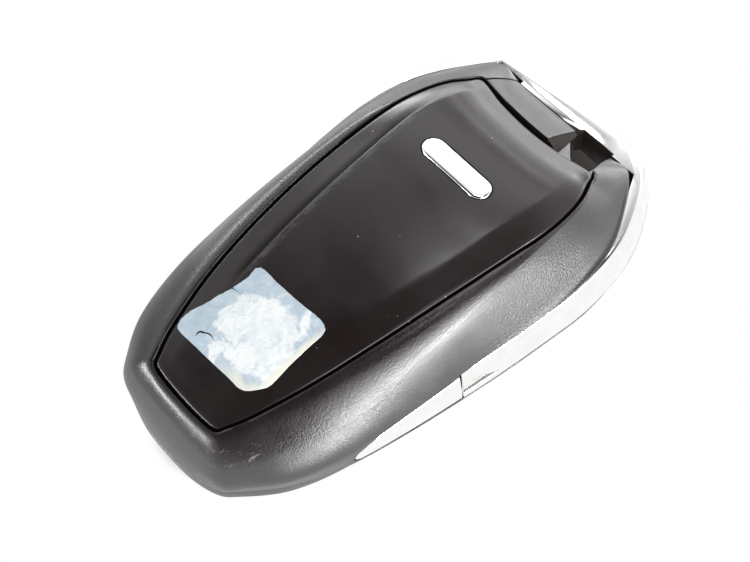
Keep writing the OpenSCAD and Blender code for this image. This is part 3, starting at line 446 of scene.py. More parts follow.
class Shader(Nodes):
    """A Principled material with helpers that add nodes in the object's own coordinates."""

    def __init__(self, name, color, rough, metallic=0.0, specular=0.5):
        self.mat = bpy.data.materials.new(name)
        self.mat.use_nodes = True
        super().__init__(self.mat.node_tree)
        self.bsdf = self.tree.nodes["Principled BSDF"]
        self.coords = self.add("TexCoord", out="Object")
        self.normal = None
        self.color((*color, 1))
        self.rough(rough)
        self.specular(specular)
        self.put(self.bsdf.inputs["Metallic"], metallic)

    def color(self, value):
        self.put(self.bsdf.inputs["Base Color"], value)

    def rough(self, value):
        self.put(self.bsdf.inputs["Roughness"], value)

    def specular(self, value):
        self.put(self.bsdf.inputs["Specular IOR Level"], value)

    def mapped(self, scale, turn=0.0):
        return self.add("Mapping", {"Vector": self.coords, "Scale": scale, "Rotation": (0, 0, turn)})

    def noise(self, scale, detail=3, rough=0.5, vector=None, distortion=0.0):
        return self.add("TexNoise", {
            "Vector": vector or self.coords, "Scale": scale, "Detail": detail, "Roughness": rough, "Distortion": distortion,
        }, "Fac")

    def cells(self, scale, feature="F1", randomness=1.0):
        inputs = {"Vector": self.coords, "Scale": scale, "Randomness": randomness}
        return self.add("TexVoronoi", inputs, "Distance", feature=feature)

    def mix(self, share, a, b):
        a, b = (v if isinstance(v, bpy.types.NodeSocket) else (*v, 1) for v in (a, b))
        return self.add("Mix", {0: share, 6: a, 7: b}, 2, data_type="RGBA")

    def near(self, point, radius, soft):
        """1 within the radius of a point in metres, falling to 0 over the soft distance."""
        gap = self.add("VectorMath", {0: self.coords, 1: point}, "Value", operation="DISTANCE")
        return self.fall(gap, radius, radius + soft)

    def axis(self, name):
        return self.add("SeparateXYZ", {0: self.coords}, name)

    def bump(self, height, distance):
        inputs = {"Distance": distance, "Height": height}
        if self.normal is not None:
            inputs["Normal"] = self.normal
        self.normal = self.add("Bump", inputs)
        self.put(self.bsdf.inputs["Normal"], self.normal)


def scaled(color, k):
    return tuple(k * c for c in color)


# Scuffed spots at the narrow end, as [point, radius, soft] in metres
SCUFFS = (
    ((0.0081, -0.0344, 0.0103), 0.0006, 0.0022), ((0.0049, -0.0349, 0.0108), 0.0003, 0.0018),
    ((0.0103, -0.0316, 0.0104), 0.0003, 0.0020), ((0.0121, -0.0276, 0.0109), 0.0002, 0.0018),
)
# The ridge's fall along Y, and the strip below it, in metres, in which the grain fades into the satin at the narrow half:
# the height of its foot over that fall at two places along Y, and how high it is
RIDGE_FALL, FADE_FOOT, FADE_H = 0.091, (-0.0155, -0.0085, 0.0123, 0.0139), 0.0009


def grained_plastic(name, base, rough, grain, specular=0.8, scuffs=0.0, patches=(), calm=None):
    """Moulded black plastic. patches lists [point, radius, soft, grain, tone] of places that are worn to more grain, and
    calm is the roughness and the colour that the finish turns to at the narrow end, where it fades into the satin."""
    s = Shader(name, base, rough, specular=specular)
    pebble = s.span(s.noise(3700, 2, 0.6), 0.3, 0.7)
    broad = s.noise(160, 4, 0.6)
    sheen = s.span(broad, 0.3, 0.7, rough - 0.04, rough + 0.05)
    tone = s.mix(s.span(broad, 0.35, 0.7), scaled(base, 0.85), scaled(base, 1.2))
    tone = s.mix(s.times(pebble, 0.5), tone, scaled(base, 2.2))
    relief = pebble
    if calm:
        y = s.axis("Y")
        end = s.fall(y, -0.030, -0.006)
        relief = s.times(pebble, s.span(y, -0.034, -0.026, 0.5, 1.0))
        sheen = s.plus(sheen, s.times(end, calm[0] - rough))
        tone = s.mix(s.times(end, 0.5), tone, calm[1])
        height = s.minus(s.minus(s.axis("Z"), s.times(y, RIDGE_FALL)), s.span(y, *FADE_FOOT))
        low = s.times(s.fall(height, 0.0, FADE_H), s.fall(y, -0.010, -0.006))
        sheen = s.plus(sheen, s.times(low, s.minus(SATIN_ROUGH, sheen)))
        tone = s.mix(low, tone, SATIN_BASE)
        s.specular(s.plus(specular, s.times(low, 1.0 - specular)))
    s.bump(relief, grain)
    for *spot, more, worn_tone in patches:
        worn = s.near(*spot)
        s.bump(s.times(pebble, worn), more)
        tone = s.mix(s.times(worn, pebble), tone, worn_tone)
    s.rough(sheen)
    specks = s.fall(s.cells(900), 0.0, 0.13)
    rare = s.span(s.noise(420, 1), 0.68, 0.72)
    tone = s.mix(s.times(specks, s.times(rare, 0.3)), tone, (0.5, 0.49, 0.47))
    if scuffs:
        strokes = s.span(s.noise(1500, 3, 0.75, s.mapped((1, 0.3, 1), 0.75)), 0.57, 0.65)
        worn = s.most(*(s.near(*spot) for spot in SCUFFS))
        tone = s.mix(s.times(worn, strokes, scuffs), tone, (0.30, 0.285, 0.27))
    s.color(tone)
    return s.mat


# Left crease of the cover in plan: coefficients of x against y in metres, highest power first
CREASE_LINE = (3825.0, 64.2, 0.2053, -0.11482, -0.008914)


def cover_plastic():
    s = Shader("cover_black", (0.011, 0.010, 0.0102), 0.24, specular=0.5)
    broad = s.noise(110, 4, 0.6)
    s.bump(s.noise(5200, 2, 0.5), 0.000003)
    s.rough(s.span(broad, 0.25, 0.75, 0.20, 0.28))
    base = s.mix(s.span(broad, 0.3, 0.75), (0.0125, 0.0080, 0.0082), (0.0180, 0.0130, 0.0128))
    dust = s.times(s.fall(s.cells(620), 0.03, 0.10), s.span(s.noise(350, 1), 0.58, 0.64), 0.5)
    hair_lines, cross_lines = (
        s.span(s.noise(240, 2, 0.5, s.mapped((7, 0.4, 1), turn)), low, high)
        for turn, low, high in ((0.9, 0.775, 0.80), (-0.5, 0.785, 0.81))
    )
    lines = s.times(s.most(hair_lines, cross_lines), 0.10)
    y, line = s.axis("Y"), CREASE_LINE[0]
    for c in CREASE_LINE[1:]:
        line = s.plus(s.times(y, line), c)
    beyond = s.minus(line, s.axis("X"))
    length = s.times(s.span(y, -0.0215, -0.017), s.fall(y, 0.012, 0.020))
    # Painted shade: a band just outside the left crease is darkened and its specular lowered, as the shade beside the
    # raised middle
    crease_painted_shade = s.times(s.span(beyond, -0.00002, 0.00014), s.fall(beyond, 0.0003, 0.0015), length)
    strokes = s.span(s.noise(1500, 3, 0.7, s.mapped((1, 0.3, 1), -0.9)), 0.40, 0.62)
    # Rubbed strokes just inside the left crease, lightened as wear and as a painted highlight along the crease's edge
    rubbed_and_highlight = s.times(s.span(beyond, -0.0011, -0.0002), s.fall(beyond, -0.00006, 0.00004), length, strokes)
    s.specular(s.minus(0.5, s.times(crease_painted_shade, 0.34)))
    base = s.mix(s.times(crease_painted_shade, 0.6), base, (0.006, 0.0042, 0.0042))
    base = s.mix(s.times(rubbed_and_highlight, 0.6), base, (0.10, 0.097, 0.102))
    s.color(s.mix(s.most(dust, lines), base, (0.55, 0.53, 0.5)))
    return s.mat


def plain_plastic(name, base, rough, scale=700, specular=0.5):
    s = Shader(name, base, rough, specular=specular)
    n = s.noise(scale, 3)
    s.bump(s.noise(scale * 5, 2), 0.000006)
    s.rough(s.span(n, 0.3, 0.7, max(0.02, rough - 0.08), rough + 0.08))
    s.color(s.mix(n, scaled(base, 0.75), scaled(base, 1.25)))
    return s.mat


def polished_metal(name, base, rough, wear=0.04, streak=(1, 1, 1)):
    s = Shader(name, base, rough, metallic=1.0)
    n = s.noise(500, 4, 0.6, s.mapped(streak))
    s.rough(s.span(n, 0.3, 0.75, rough, rough + wear))
    s.color(s.mix(s.span(n, 0.3, 0.8), base, scaled(base, 0.93)))
    s.bump(s.noise(3000, 2, 0.5, s.mapped(streak)), 0.0000008)
    return s.mat


def circuit_green():
    s = Shader("board_green", (0.012, 0.09, 0.04), 0.38)
    grid = s.cells(520, "DISTANCE_TO_EDGE", randomness=0.35)
    traces = s.fall(grid, 0.05, 0.09)
    s.color(s.mix(traces, (0.010, 0.075, 0.032), (0.03, 0.17, 0.075)))
    s.bump(traces, 0.00002)
    return s.mat


def paper():
    s = Shader("label_paper", (0.80, 0.84, 0.86), 0.8, specular=0.25)
    fibres = s.noise(420, 5, 0.65, s.mapped((1, 1, 1), 0.4), 1.4)
    torn = s.noise(240, 5, 0.6, None, 0.9)
    x, y = s.axis("X"), s.axis("Y")
    across, length = s.times(s.plus(x, -0.0010), 165.0), s.times(s.plus(y, 0.0222), 180.0)
    reach = s.math("SQRT", s.plus(s.times(across, across), s.times(length, length)))
    white = s.fall(s.plus(reach, s.times(s.plus(torn, -0.5), 2.6)), 0.85, 1.12)
    film = s.mix(s.span(fibres, 0.3, 0.7), (0.43, 0.54, 0.64), (0.59, 0.68, 0.74))
    pulp = s.mix(s.span(fibres, 0.35, 0.6), (0.80, 0.86, 0.89), (0.92, 0.95, 0.95))
    tone = s.mix(white, film, pulp)
    wrinkle = s.noise(330, 3, 0.55, s.mapped((1.5, 0.8, 1), 0.5), 1.1)
    veins = s.times(s.fall(s.math("ABSOLUTE", s.plus(wrinkle, -0.5)), 0.0, 0.02), 0.5)
    tone = s.mix(veins, tone, (0.50, 0.60, 0.68))
    cream = s.most(
        s.times(s.span(y, -0.0266, -0.0277), s.span(x, -0.001, 0.004)),
        s.times(s.span(x, 0.0054, 0.0061), s.span(y, -0.0150, -0.0185)),
        s.near((0.0058, -0.0272, 0.0128), 0.0010, 0.0012),
        s.near((-0.0050, -0.0192, 0.0138), 0.0006, 0.0009),
        s.near((-0.0036, -0.0272, 0.0125), 0.0004, 0.0008),
    )
    tone = s.mix(s.times(cream, 0.85), tone, (0.84, 0.82, 0.72))
    stain = s.times(s.near((0.0062, -0.0206, 0.0138), 0.0002, 0.0009), s.span(torn, 0.45, 0.6))
    s.color(s.mix(stain, tone, (0.42, 0.36, 0.22)))
    s.bump(torn, 0.00012)
    s.bump(fibres, 0.00005)
    return s.mat


SATIN_BASE, SATIN_ROUGH = (0.017, 0.0152, 0.015), 0.37
HOUSING_SATIN = grained_plastic("housing_satin", SATIN_BASE, SATIN_ROUGH, 0.000006, 1.0, 0.5, [
    [(side * 0.0165, 0.0080, 0.0115), 0.0055, 0.0060, 0.000024, (0.035, 0.034, 0.0345)] for side in (-1, 1)
])
GRAIN_BASE = (0.0120, 0.0086, 0.0090)
HOUSING_GRAIN = grained_plastic("housing_grain", GRAIN_BASE, 0.20, 0.000013, 0.75, 0.5, (), (0.27, GRAIN_BASE))
HOUSING_DARK = plain_plastic("housing_dark", (0.010, 0.0085, 0.0078), 0.6, 700, 0.12)
EYE_BROWN = plain_plastic("eye_brown", (0.055, 0.043, 0.037), 0.7, 500, 0.15)
SLIDER_CUT = plain_plastic("slider_cut", (0.034, 0.029, 0.025), 0.65, 900, 0.2)
COVER_BLACK = cover_plastic()
SLIDER_BLACK = grained_plastic("slider_black", (0.016, 0.015, 0.015), 0.36, 0.000006, 0.8)
CHROME = polished_metal("chrome", (0.96, 0.963, 0.967), 0.08)
NAIL_METAL = polished_metal("nail_metal", (0.58, 0.58, 0.56), 0.55)
BADGE_METAL = polished_metal("badge_metal", (0.91, 0.915, 0.92), 0.12)
STEEL = polished_metal("blade_steel", (0.56, 0.56, 0.565), 0.26, 0.1, (1, 0.06, 1))
CELL_STEEL = polished_metal("cell_steel", (0.66, 0.66, 0.665), 0.24, 0.1)
BRASS = polished_metal("contact_brass", (0.72, 0.56, 0.25), 0.28, 0.1)
CHASSIS = plain_plastic("chassis_plastic", (0.042, 0.045, 0.05), 0.5)
CHIP = plain_plastic("chip_black", (0.011, 0.011, 0.012), 0.55)
FERRITE = plain_plastic("ferrite", (0.030, 0.022, 0.019), 0.6)
SWITCH = plain_plastic("switch_plastic", (0.58, 0.565, 0.52), 0.45)
SILICONE = plain_plastic("mat_silicone", (0.27, 0.28, 0.285), 0.7)
BUTTON = plain_plastic("button_plastic", (0.026, 0.025, 0.0255), 0.5)
PRINT = polished_metal("button_print", (0.80, 0.80, 0.79), 0.42)
BOARD = circuit_green()
PAPER = paper()


# Housings

def neck():
    return [
        (-NECK_W, -FAR), (NECK_W, -FAR), (NECK_W, along(SHOULDER_AT)), (HORN_W, BOW_Y - BOW_GAP), (-HORN_W, BOW_Y - BOW_GAP),
        (-NECK_W, along(SHOULDER_AT)),
    ]


def eye_cutter(mark):
    return prism([
        (EYE_X, along(EYE_AT + EYE_DEPTH)), (EYE_X + EYE_REACH, along(EYE_AT)),
        (recess_w(EYE_AT + 0.3) - 1, along(EYE_AT + 0.3)), (recess_w(HOUSING_L), along(HOUSING_L)),
        (recess_w(HOUSING_L), along(HOUSING_L + 2)), (EYE_X, along(HOUSING_L + 2)),
    ], -1, FAR, mark)


def end_slot(mark):
    return block(-RECESS_OUT / 2, SLIDER_END, -1, (RECESS_OUT / 2 + EYE_X + 0.1, FAR, FAR), mark)


def trim_profile(g):
    """Outline of the side trim as [place along the fob, height], grown by g, with its tip rounded."""
    low, high = SEAM_H + TRIM_LIFT - g, CHANNEL_TOP - TRIM_DROP + g
    corners = [
        (ARM_AT + g, high), (TRIM_AT + TIP_L - g, high - TIP_SLOPE), (TRIM_AT + TIP_ROUND / 2 - g, high - TIP_H),
        (TRIM_AT - g, low + TIP_ROUND), (TRIM_AT + TIP_ROUND - g / 2, low), (ARM_AT + g, low),
    ]
    return rounded(corners, [0, 1.1, 0.5, 0.35, 0.35, 0])


def trim_cutter(side, grow, gap=0.0, mark=0):
    """The room of a side trim, grown in its profile and made deeper by a gap."""
    return side_prism(trim_profile(grow), *sorted((side * (NECK_W - TRIM_SEAT - gap), side * FAR)), mark)


def rounded(corners, radii):
    """A polygon with its corners rounded off by short curves of the given reach."""
    out = []
    c = [np.array(p, float) for p in corners]
    for i, r in enumerate(radii):
        p, a, b = c[i], c[i - 1], c[(i + 1) % len(c)]
        if not r:
            out.append(tuple(p))
            continue
        start = p + (a - p) * min(0.45, r / np.linalg.norm(a - p))
        end = p + (b - p) * min(0.45, r / np.linalg.norm(b - p))
        for t in np.linspace(0, 1, 5):
            out.append(tuple(start * (1 - t) ** 2 + p * 2 * t * (1 - t) + end * t**2))
    return out


def unit(v):
    return v / np.maximum(1e-9, np.linalg.norm(v, axis=1))[:, None]


def roll_over(rings, low, ridge, high):
    """Rolls the section smoothly over the ridge from ring low to ring high, where the flank and the shoulder would else
    meet in a hollow or almost level; a ridge that stands out stays crisp."""
    step = [unit(rings[k + 1] - rings[k]) for k in (ridge - 1, ridge, low, high)]
    way = unit(np.roll(rings[ridge], -1, 0) - np.roll(rings[ridge], 1, 0))
    turn = (np.cross(step[0], step[1]) * way).sum(1) * np.sign((np.cross(step[2], step[3]) * way).sum(1))
    share = np.clip((0.30 - turn) / 0.22, 0, 1)
    for _ in range(12):
        share = (np.roll(share, 1) + share + np.roll(share, -1)) / 3
    share = share[:, None]
    a, b = rings[low], rings[high]
    span = np.linalg.norm(b - a, axis=1)[:, None]
    ta, tb = unit(rings[low + 1] - rings[low - 1]) * span, unit(rings[high + 1] - rings[high - 1]) * span
    lengths = [np.linalg.norm(rings[k + 1] - rings[k], axis=1)[:, None] for k in range(low, high)]
    u = 0
    out = list(rings)
    for k in range(low + 1, high):
        u = u + lengths[k - low - 1] / sum(lengths)
        curve = (
            a * (1 + 2 * u) * (1 - u) ** 2 + ta * u * (1 - u) ** 2 + b * u ** 2 * (3 - 2 * u) - tb * u ** 2 * (1 - u)
        )
        out[k] = lerp(rings[k], curve, share)
    return out


# Number of the ring that runs along the ridge
RIDGE_RING = 12


def rear_rings():
    seam, edge, flank, ridge, shoulder, groove = map(fine, (SEAM, EDGE, FLANK, RIDGE, SHOULDER, GROOVE))
    rings, marks = [seam, lerp(seam, edge, 0.5)], [0, 0]
    cove = fine(around(COVE_SHAPE)) * UP
    for t, share in COVE_PROFILE:
        rings.append(through(edge, flank, ridge, t) - share * cove)
        marks.append(0)
    length = np.linalg.norm(ridge - groove, axis=1)[:, None]
    lip = np.minimum(0.22, 0.35 * length)
    for t in (0, 0.04, 0.12, 0.24, 0.38, 0.55, 0.7, 0.85, 1):
        rings.append(through(ridge, shoulder, groove, t * (1 - lip / length)))
        marks.append(1)
    start, end = rings[-1], groove - lip * UP
    rings += [0.25 * start + 0.5 * groove + 0.25 * end, end]
    marks += [1, 2]
    return roll_over(rings, 8, RIDGE_RING, 17), marks


# The turn in radians from which the ridge is shown as a crisp edge, and how the grain spreads below the ridge towards the
# narrow end: a band of the section and the place along Y, in mm, up to which it is grained
RIDGE_CRISP = 0.25
GRAIN_TAPER = ((11, -9.0), (10, -12.0), (9, -15.0))


def rear_housing():
    rings, marks = rear_rings()
    rings += map(fine, (lower(GROOVE, POCKET_D), LEDGE, lower(LEDGE, LEDGE_T), INNER_TOP, INNER))
    marks += [2] * 5
    obj = ring_solid("rear_housing_shell", rings, True, marks)
    for band, place_from in GRAIN_TAPER:
        for k, y in enumerate(rings[band][:, 1]):
            if y < place_from:
                obj.data.polygons[band * len(rings[0]) + k].material_index = 1
    channel = carve(
        block(-FAR / 2, ARM_AT, -1, (FAR, FAR, CHANNEL_TOP + 1), 2), prism(neck(), -2, CHANNEL_TOP + 4, 2)
    )
    rails = [
        bar(s, NECK_W - RAIL_D - SLIDE_GAP, NECK_W + 1, ARM_AT + TONGUE_L - 2, RAIL_Z - SLIDE_GAP,
            SHOULDER_AT - ARM_AT, RAIL_H + 2 * SLIDE_GAP, 2)
        for s in (-1, 1)
    ]
    stops = [RECESS_START, RECESS_AT, HOUSING_L + 2]
    plan = [(recess_w(n), along(n)) for n in stops] + [(-recess_w(n), along(n)) for n in reversed(stops)]
    recess = carve(
        prism(plan, 0, FAR),
        side_prism([
            (RECESS_START - 1, floor_h(FLOOR_AT)), (FLOOR_AT, floor_h(FLOOR_AT)), (HOUSING_L + 3, floor_h(HOUSING_L + 3)),
            (HOUSING_L + 3, FAR), (RECESS_START - 1, FAR),
        ]),
        operation="INTERSECT",
    )
    tunnel = block(BLADE_X - CHANNEL_W, HOUSING_L - END_BLOCK - 1, BLADE_Z - BLADE_GAP,
                   (2 * CHANNEL_W, END_BLOCK + 4, BLADE_T + 2 * BLADE_GAP), 2)
    wells = [
        block(LEG_X - SLIDER_GAP, LEG_AT - SLIDER_GAP, LEG_Z - SLIDER_GAP,
              (LEG_W + RELEASE_TRAVEL + 2 * SLIDER_GAP, LEG_L + 2 * SLIDER_GAP, FAR), 2),
        block(SPRING_X - SPRING_L - LUG_W - SLIDER_GAP, SPRING_AT - SPRING_D / 2 - SLIDER_GAP,
              SPRING_Z - SPRING_D / 2 - SLIDER_GAP,
              (SPRING_L + LUG_W + 1.5 * SLIDER_GAP, SPRING_D + 2 * SLIDER_GAP, FAR), 2),
    ]
    pockets = [trim_cutter(s, 0.1, INSIDE_GAP, 2) for s in (1, -1)]
    carve(obj, channel, *rails, recess, eye_cutter(3), end_slot(3), tunnel, *wells, *pockets)
    soften(obj, 0.09, 45)
    finishes = [HOUSING_SATIN, HOUSING_GRAIN, HOUSING_DARK, EYE_BROWN]
    place(obj, "housing", finishes, "rear_housing", 32)
    crest = KDTree(len(rings[RIDGE_RING]))
    for k, p in enumerate(rings[RIDGE_RING]):
        crest.insert(p * 0.001, k)
    crest.balance()
    with editing(obj.data) as bm:
        for e in bm.edges:
            if e.calc_face_angle(0) > RIDGE_CRISP and all(f.material_index < 2 for f in e.link_faces):
                if crest.find((e.verts[0].co + e.verts[1].co) / 2)[2] < 0.0004:
                    e.smooth = False
    return obj


def front_housing():
    rings = [fine(front_ring(d, z)) for d, z in (
        (2.0, 0.0), (1.6, 0.015), (1.1, 0.07), (0.7, 0.18), (0.4, 0.36), (0.18, 0.6), (0.05, 0.95), (0.0, 1.5)
    )]
    seam = fine(SEAM)
    rings = rings[:-1] + [lerp(rings[-2], seam, 0.5), lower(seam, 0.1), inset(seam, 0.1)]
    rings += [fine(INNER), fine(level(INNER, FRONT_T))]
    obj = ring_solid("front_housing_shell", rings, False, [0] * (len(rings) - 3) + [1, 1])
    holes = [
        prism([(x, y + along(button_n(i))) for x, y in stadium(BUTTON_L + 2 * BUTTON_GAP, BUTTON_W + 2 * BUTTON_GAP, 28)],
              -1, FRONT_T + 1, 1)
        for i in range(3)
    ]
    carve(obj, *holes, eye_cutter(2), end_slot(2))
    soften(obj, 0.07, 50)
    return place(obj, "housing", [HOUSING_SATIN, HOUSING_DARK, EYE_BROWN], "front_housing", 32)


def button_n(i):
    return HOUSING_L - BUTTON_BACK + (i - 1) * BUTTON_PITCH


# Cover

COVER_LINE = inset(GROOVE, COVER_GAP)
RIM_R = 0.34


def side_index(v):
    shares = np.array([p[1] for p in GROOVE_SHAPE])
    y = lerp(shares[2], shares[12], np.asarray(v, float))
    return np.interp(y, shares[2:13], np.arange(2, 13))


def crease(v):
    return 0.5 + 0.27 * v


# Depth in mm of the shallow worn hollow beside the left crease
CREASE_WEAR = 0.085
# How far the crown falls from the middle to the crease and how softly it turns there, as shares of its height
CREASE_FALL, CREASE_TURN = 0.12, 0.10


def smooth(x, a, b):
    t = np.clip((x - a) / (b - a), 0, 1)
    return t * t * (3 - 2 * t)


def cover_points(r, v):
    """Points of the cover's top at the shares r across, from -1 to 1, and v along."""
    r, v = np.broadcast_arrays(np.asarray(r, float), np.asarray(v, float))
    shape = r.shape
    r, v = r.ravel(), v.ravel()
    u = (r + 1) / 2
    near, end = on_curve(COVER_LINE, 4 * u - 2), on_curve(COVER_LINE, 16 - 4 * u)
    s = side_index(v)
    left, right = on_curve(COVER_LINE, 28 - s), on_curve(COVER_LINE, s)
    a, b, c, d = (on_curve(COVER_LINE, k) for k in (-2, 2, 16, 12))
    u, w = u[:, None], v[:, None]
    p = lerp(near, end, w) + lerp(left, right, u) - lerp(lerp(a, b, u), lerp(c, d, u), w)
    q = np.abs(r)
    cr = crease(v)
    middle = 1 - CREASE_FALL * (q / cr) ** 2
    outer = (1 - CREASE_FALL) * (1 - q) / (1 - cr)
    h = np.clip(0.5 + 0.5 * (outer - middle) / CREASE_TURN, 0, 1)
    swell = lerp(outer, middle, h) - CREASE_TURN * h * (1 - h)
    p[:, 2] += CROWN * eased(CROWN_SHAPE, v) * swell
    beyond = (q - cr) * np.abs(p[:, 0]) / np.maximum(q, 1e-6)
    worn = smooth(beyond, -0.10, 0.24) * (1 - smooth(beyond, 0.24, 1.9)) * smooth(v, 0.2, 0.4) * (1 - smooth(v, 0.84, 0.96))
    p[:, 2] -= np.where(r < 0, CREASE_WEAR, 0) * worn
    return p.reshape(*shape, 3)


def edge_distance(p):
    """Distance in plan from points to the cover's outline."""
    line = fine(COVER_LINE, 16)[:, :2]
    a, b = line, np.roll(line, -1, 0)
    ab = b - a
    best = np.full(len(p), 1e9)
    for i in range(len(a)):
        t = np.clip(((p - a[i]) @ ab[i]) / (ab[i] @ ab[i]), 0, 1)
        best = np.minimum(best, np.hypot(*(p - a[i] - t[:, None] * ab[i]).T))
    return best


def cover_grid():
    dense = np.array([0, 0.0006, 0.0014, 0.0026, 0.0044, 0.0066, 0.009, 0.012])
    v = np.concatenate([dense, np.linspace(0.018, 0.982, 110), 1 - dense[::-1]])
    inner = np.concatenate([np.linspace(0, 1, 12)[:-1], [0.96, 0.98, 0.99, 0.996]])
    outer = np.concatenate([
        [0, 0.006, 0.012, 0.02, 0.03, 0.045, 0.07], np.linspace(0.1, 0.86, 9), [0.92, 0.95, 0.968, 0.98, 0.989, 0.995, 1],
    ])
    rows = []
    for row in v:
        c = crease(row)
        half = np.concatenate([inner * c, c + outer * (1 - c)])
        rows.append(np.concatenate([-half[:0:-1], half]))
    r = np.array(rows)
    top = cover_points(r, v[:, None])
    flat = top.reshape(-1, 3)
    d = np.minimum(edge_distance(flat[:, :2]), RIM_R)
    drop = RIM_R - np.sqrt(np.maximum(0, RIM_R**2 - (RIM_R - d) ** 2))
    flat[:, 2] -= drop
    return flat.reshape(top.shape)


def grid_solid(name, top, depth):
    nv, nu = top.shape[:2]
    total = nv * nu
    low = top.copy()
    low[..., 2] -= depth
    a = (np.arange(nv - 1)[:, None] * nu + np.arange(nu - 1)).ravel()
    faces = [(i, i + 1, i + nu + 1, i + nu) for i in a]
    faces += [(total + i, total + i + nu, total + i + nu + 1, total + i + 1) for i in a]
    rim = list(range(nu - 1)) + [i * nu + nu - 1 for i in range(nv - 1)]
    rim += [(nv - 1) * nu + j for j in range(nu - 1, 0, -1)] + [i * nu for i in range(nv - 1, 0, -1)]
    for k, p in enumerate(rim):
        q = rim[(k + 1) % len(rim)]
        faces.append((p, total + p, total + q, q))
    return new_object(name, np.vstack([top.reshape(-1, 3), low.reshape(-1, 3)]), faces)


def badge_frame():
    v = (HOUSING_L - BADGE_BACK - COVER_SETBACK) / COVER_L
    middle, low, high = cover_points(np.zeros(3), np.array([v, v - 0.03, v + 0.03]))
    tilt = math.atan2(high[2] - low[2], high[1] - low[1])
    return Matrix.Translation((0, middle[1], middle[2])) @ Matrix.Rotation(tilt, 4, "X")


def badge_solid(name, rings):
    """A bar with round ends from [growth, height] rings."""
    obj = ring_solid(name, [stadium_ring(BADGE_L, BADGE_W, z, g) for g, z in rings])
    obj.data.transform(badge_frame())
    return obj


def rear_cover():
    obj = grid_solid("rear_cover_shell", cover_grid(), COVER_T - RIM_R)
    carve(obj, badge_solid("cutter", [(0.16, z) for z in (BADGE_PROUD - BADGE_T - 0.05, 0.5 * BADGE_PROUD, 1.0)]))
    cell_n = HOUSING_L - CELL_BACK
    above = cover_points(np.zeros(1), np.array([(cell_n - COVER_SETBACK) / COVER_L]))[0]
    z0, z1 = SEAT_H + CELL_T + RIB_CLEAR, above[2] - COVER_T / 2
    ring, inner, edge = np.column_stack([*circle(96), np.zeros(96)]), RIB_R - RIB_T, 0.15
    rib = ring_solid("rib", [ring * r + [0, along(cell_n), z] for r, z in (
        (RIB_R, z1), (RIB_R, z0 + edge), (RIB_R - edge, z0), (inner + edge, z0), (inner, z0 + edge), (inner, z1)
    )], True)
    carve(obj, rib, operation="UNION")
    return place(obj, "cover", [COVER_BLACK], "rear_cover", 38)


def badge_inlay():
    t = BADGE_PROUD
    obj = badge_solid("badge_bar", [
        (0, t - BADGE_T), (0, t - 0.34), (-0.03, t - 0.2), (-0.1, t - 0.09), (-0.22, t - 0.03), (-0.4, t - 0.01), (-0.8, t),
    ])
    return place(obj, "cover", [BADGE_METAL], "badge_inlay", 40)


def ripple(*place_at):
    return noise.noise(Vector(place_at))


def label_remnant(cover):
    """A thin torn paper label that lies on the cover, with a tear that shows the cover."""
    tree = BVHTree.FromPolygons([v.co * 1000 for v in cover.data.vertices], [p.vertices for p in cover.data.polygons])
    centre = Vector((0, along(15.5)))
    line = []
    pts = [Vector((x, along(n))) for x, n in LABEL_OUTLINE]
    for i, p in enumerate(pts):
        q = pts[(i + 1) % len(pts)]
        for t in (0, 0.25, 0.5, 0.75):
            m = p.lerp(q, t)
            rag = 0.10 if p.x < -5 else 0.035
            wave = ripple(m.x * 2.3, m.y * 2.3, 3.7) + 0.5 * ripple(m.x * 6, m.y * 6, 8.1)
            line.append(m + (centre - m).normalized() * rag * wave)
    tear = [Vector((x, along(n))) for x, n in LABEL_TEAR]
    grid = [Vector((x, y)) for x in np.arange(-8.2, 7, 0.22) for y in np.arange(along(8.8), along(22.4), 0.22)]
    inside = [p for p in grid if point_in(line, p, 0.12) and not point_in(tear, p, 0) and clear_of(tear, p, 0.1)]
    n, k = len(line), len(tear)
    edges = [(i, (i + 1) % n) for i in range(n)] + [(n + i, n + (i + 1) % k) for i in range(k)]
    verts, _, faces, *_ = geometry.delaunay_2d_cdt(line + tear + inside, edges, [], 0, 1e-5)
    middles = [sum((verts[i] for i in f), Vector((0, 0))) / len(f) for f in faces]
    kept = [f for f, p in zip(faces, middles) if point_in(line, p, 0) and not point_in(tear, p, 0)]

    def height(p):
        hit = tree.ray_cast(Vector((p.x, p.y, 60)), Vector((0, 0, -1)))[0]
        base = hit.z if hit else 13.0
        folds = ripple(p.x * 0.9 + p.y * 0.5, p.y * 1.7 - p.x * 0.4, 0.5)
        pulp = 0.05 * folds + 0.03 * ripple(p.x * 4, p.y * 4, 1.5)
        lift = 0.22 * math.exp(-((p.x + 3.9) ** 2 + (p.y - along(10.7)) ** 2) / 0.5)
        return base + 0.10 + max(-0.03, pulp) + lift

    top = [(p.x, p.y, height(p)) for p in verts]
    low = [(p.x, p.y, z - 0.13) for p, (_, _, z) in zip(verts, top)]
    m = len(verts)
    polygons = [tuple(f) for f in kept] + [tuple(m + i for i in reversed(f)) for f in kept]
    sides = {(a, f[(i + 1) % len(f)]): None for f in kept for i, a in enumerate(f)}
    polygons += [(a, m + a, m + b, b) for a, b in sides if (b, a) not in sides]
    obj = new_object("label_remnant", top + low, polygons)
    with editing(obj.data) as bm:
        bmesh.ops.delete(bm, geom=[v for v in bm.verts if not v.link_faces], context="VERTS")
    return place(obj, "cover", [PAPER], None, 60)


def clear_of(line, p, margin):
    return all((p - a).length > margin for a in line)


def point_in(line, p, margin):
    inside = False
    n = len(line)
    for i in range(n):
        a, b = line[i], line[(i + 1) % n]
        if (a.y > p.y) != (b.y > p.y) and p.x < (b.x - a.x) * (p.y - a.y) / (b.y - a.y) + a.x:
            inside = not inside
    return inside and (margin == 0 or clear_of(line, p, margin))


# Chrome

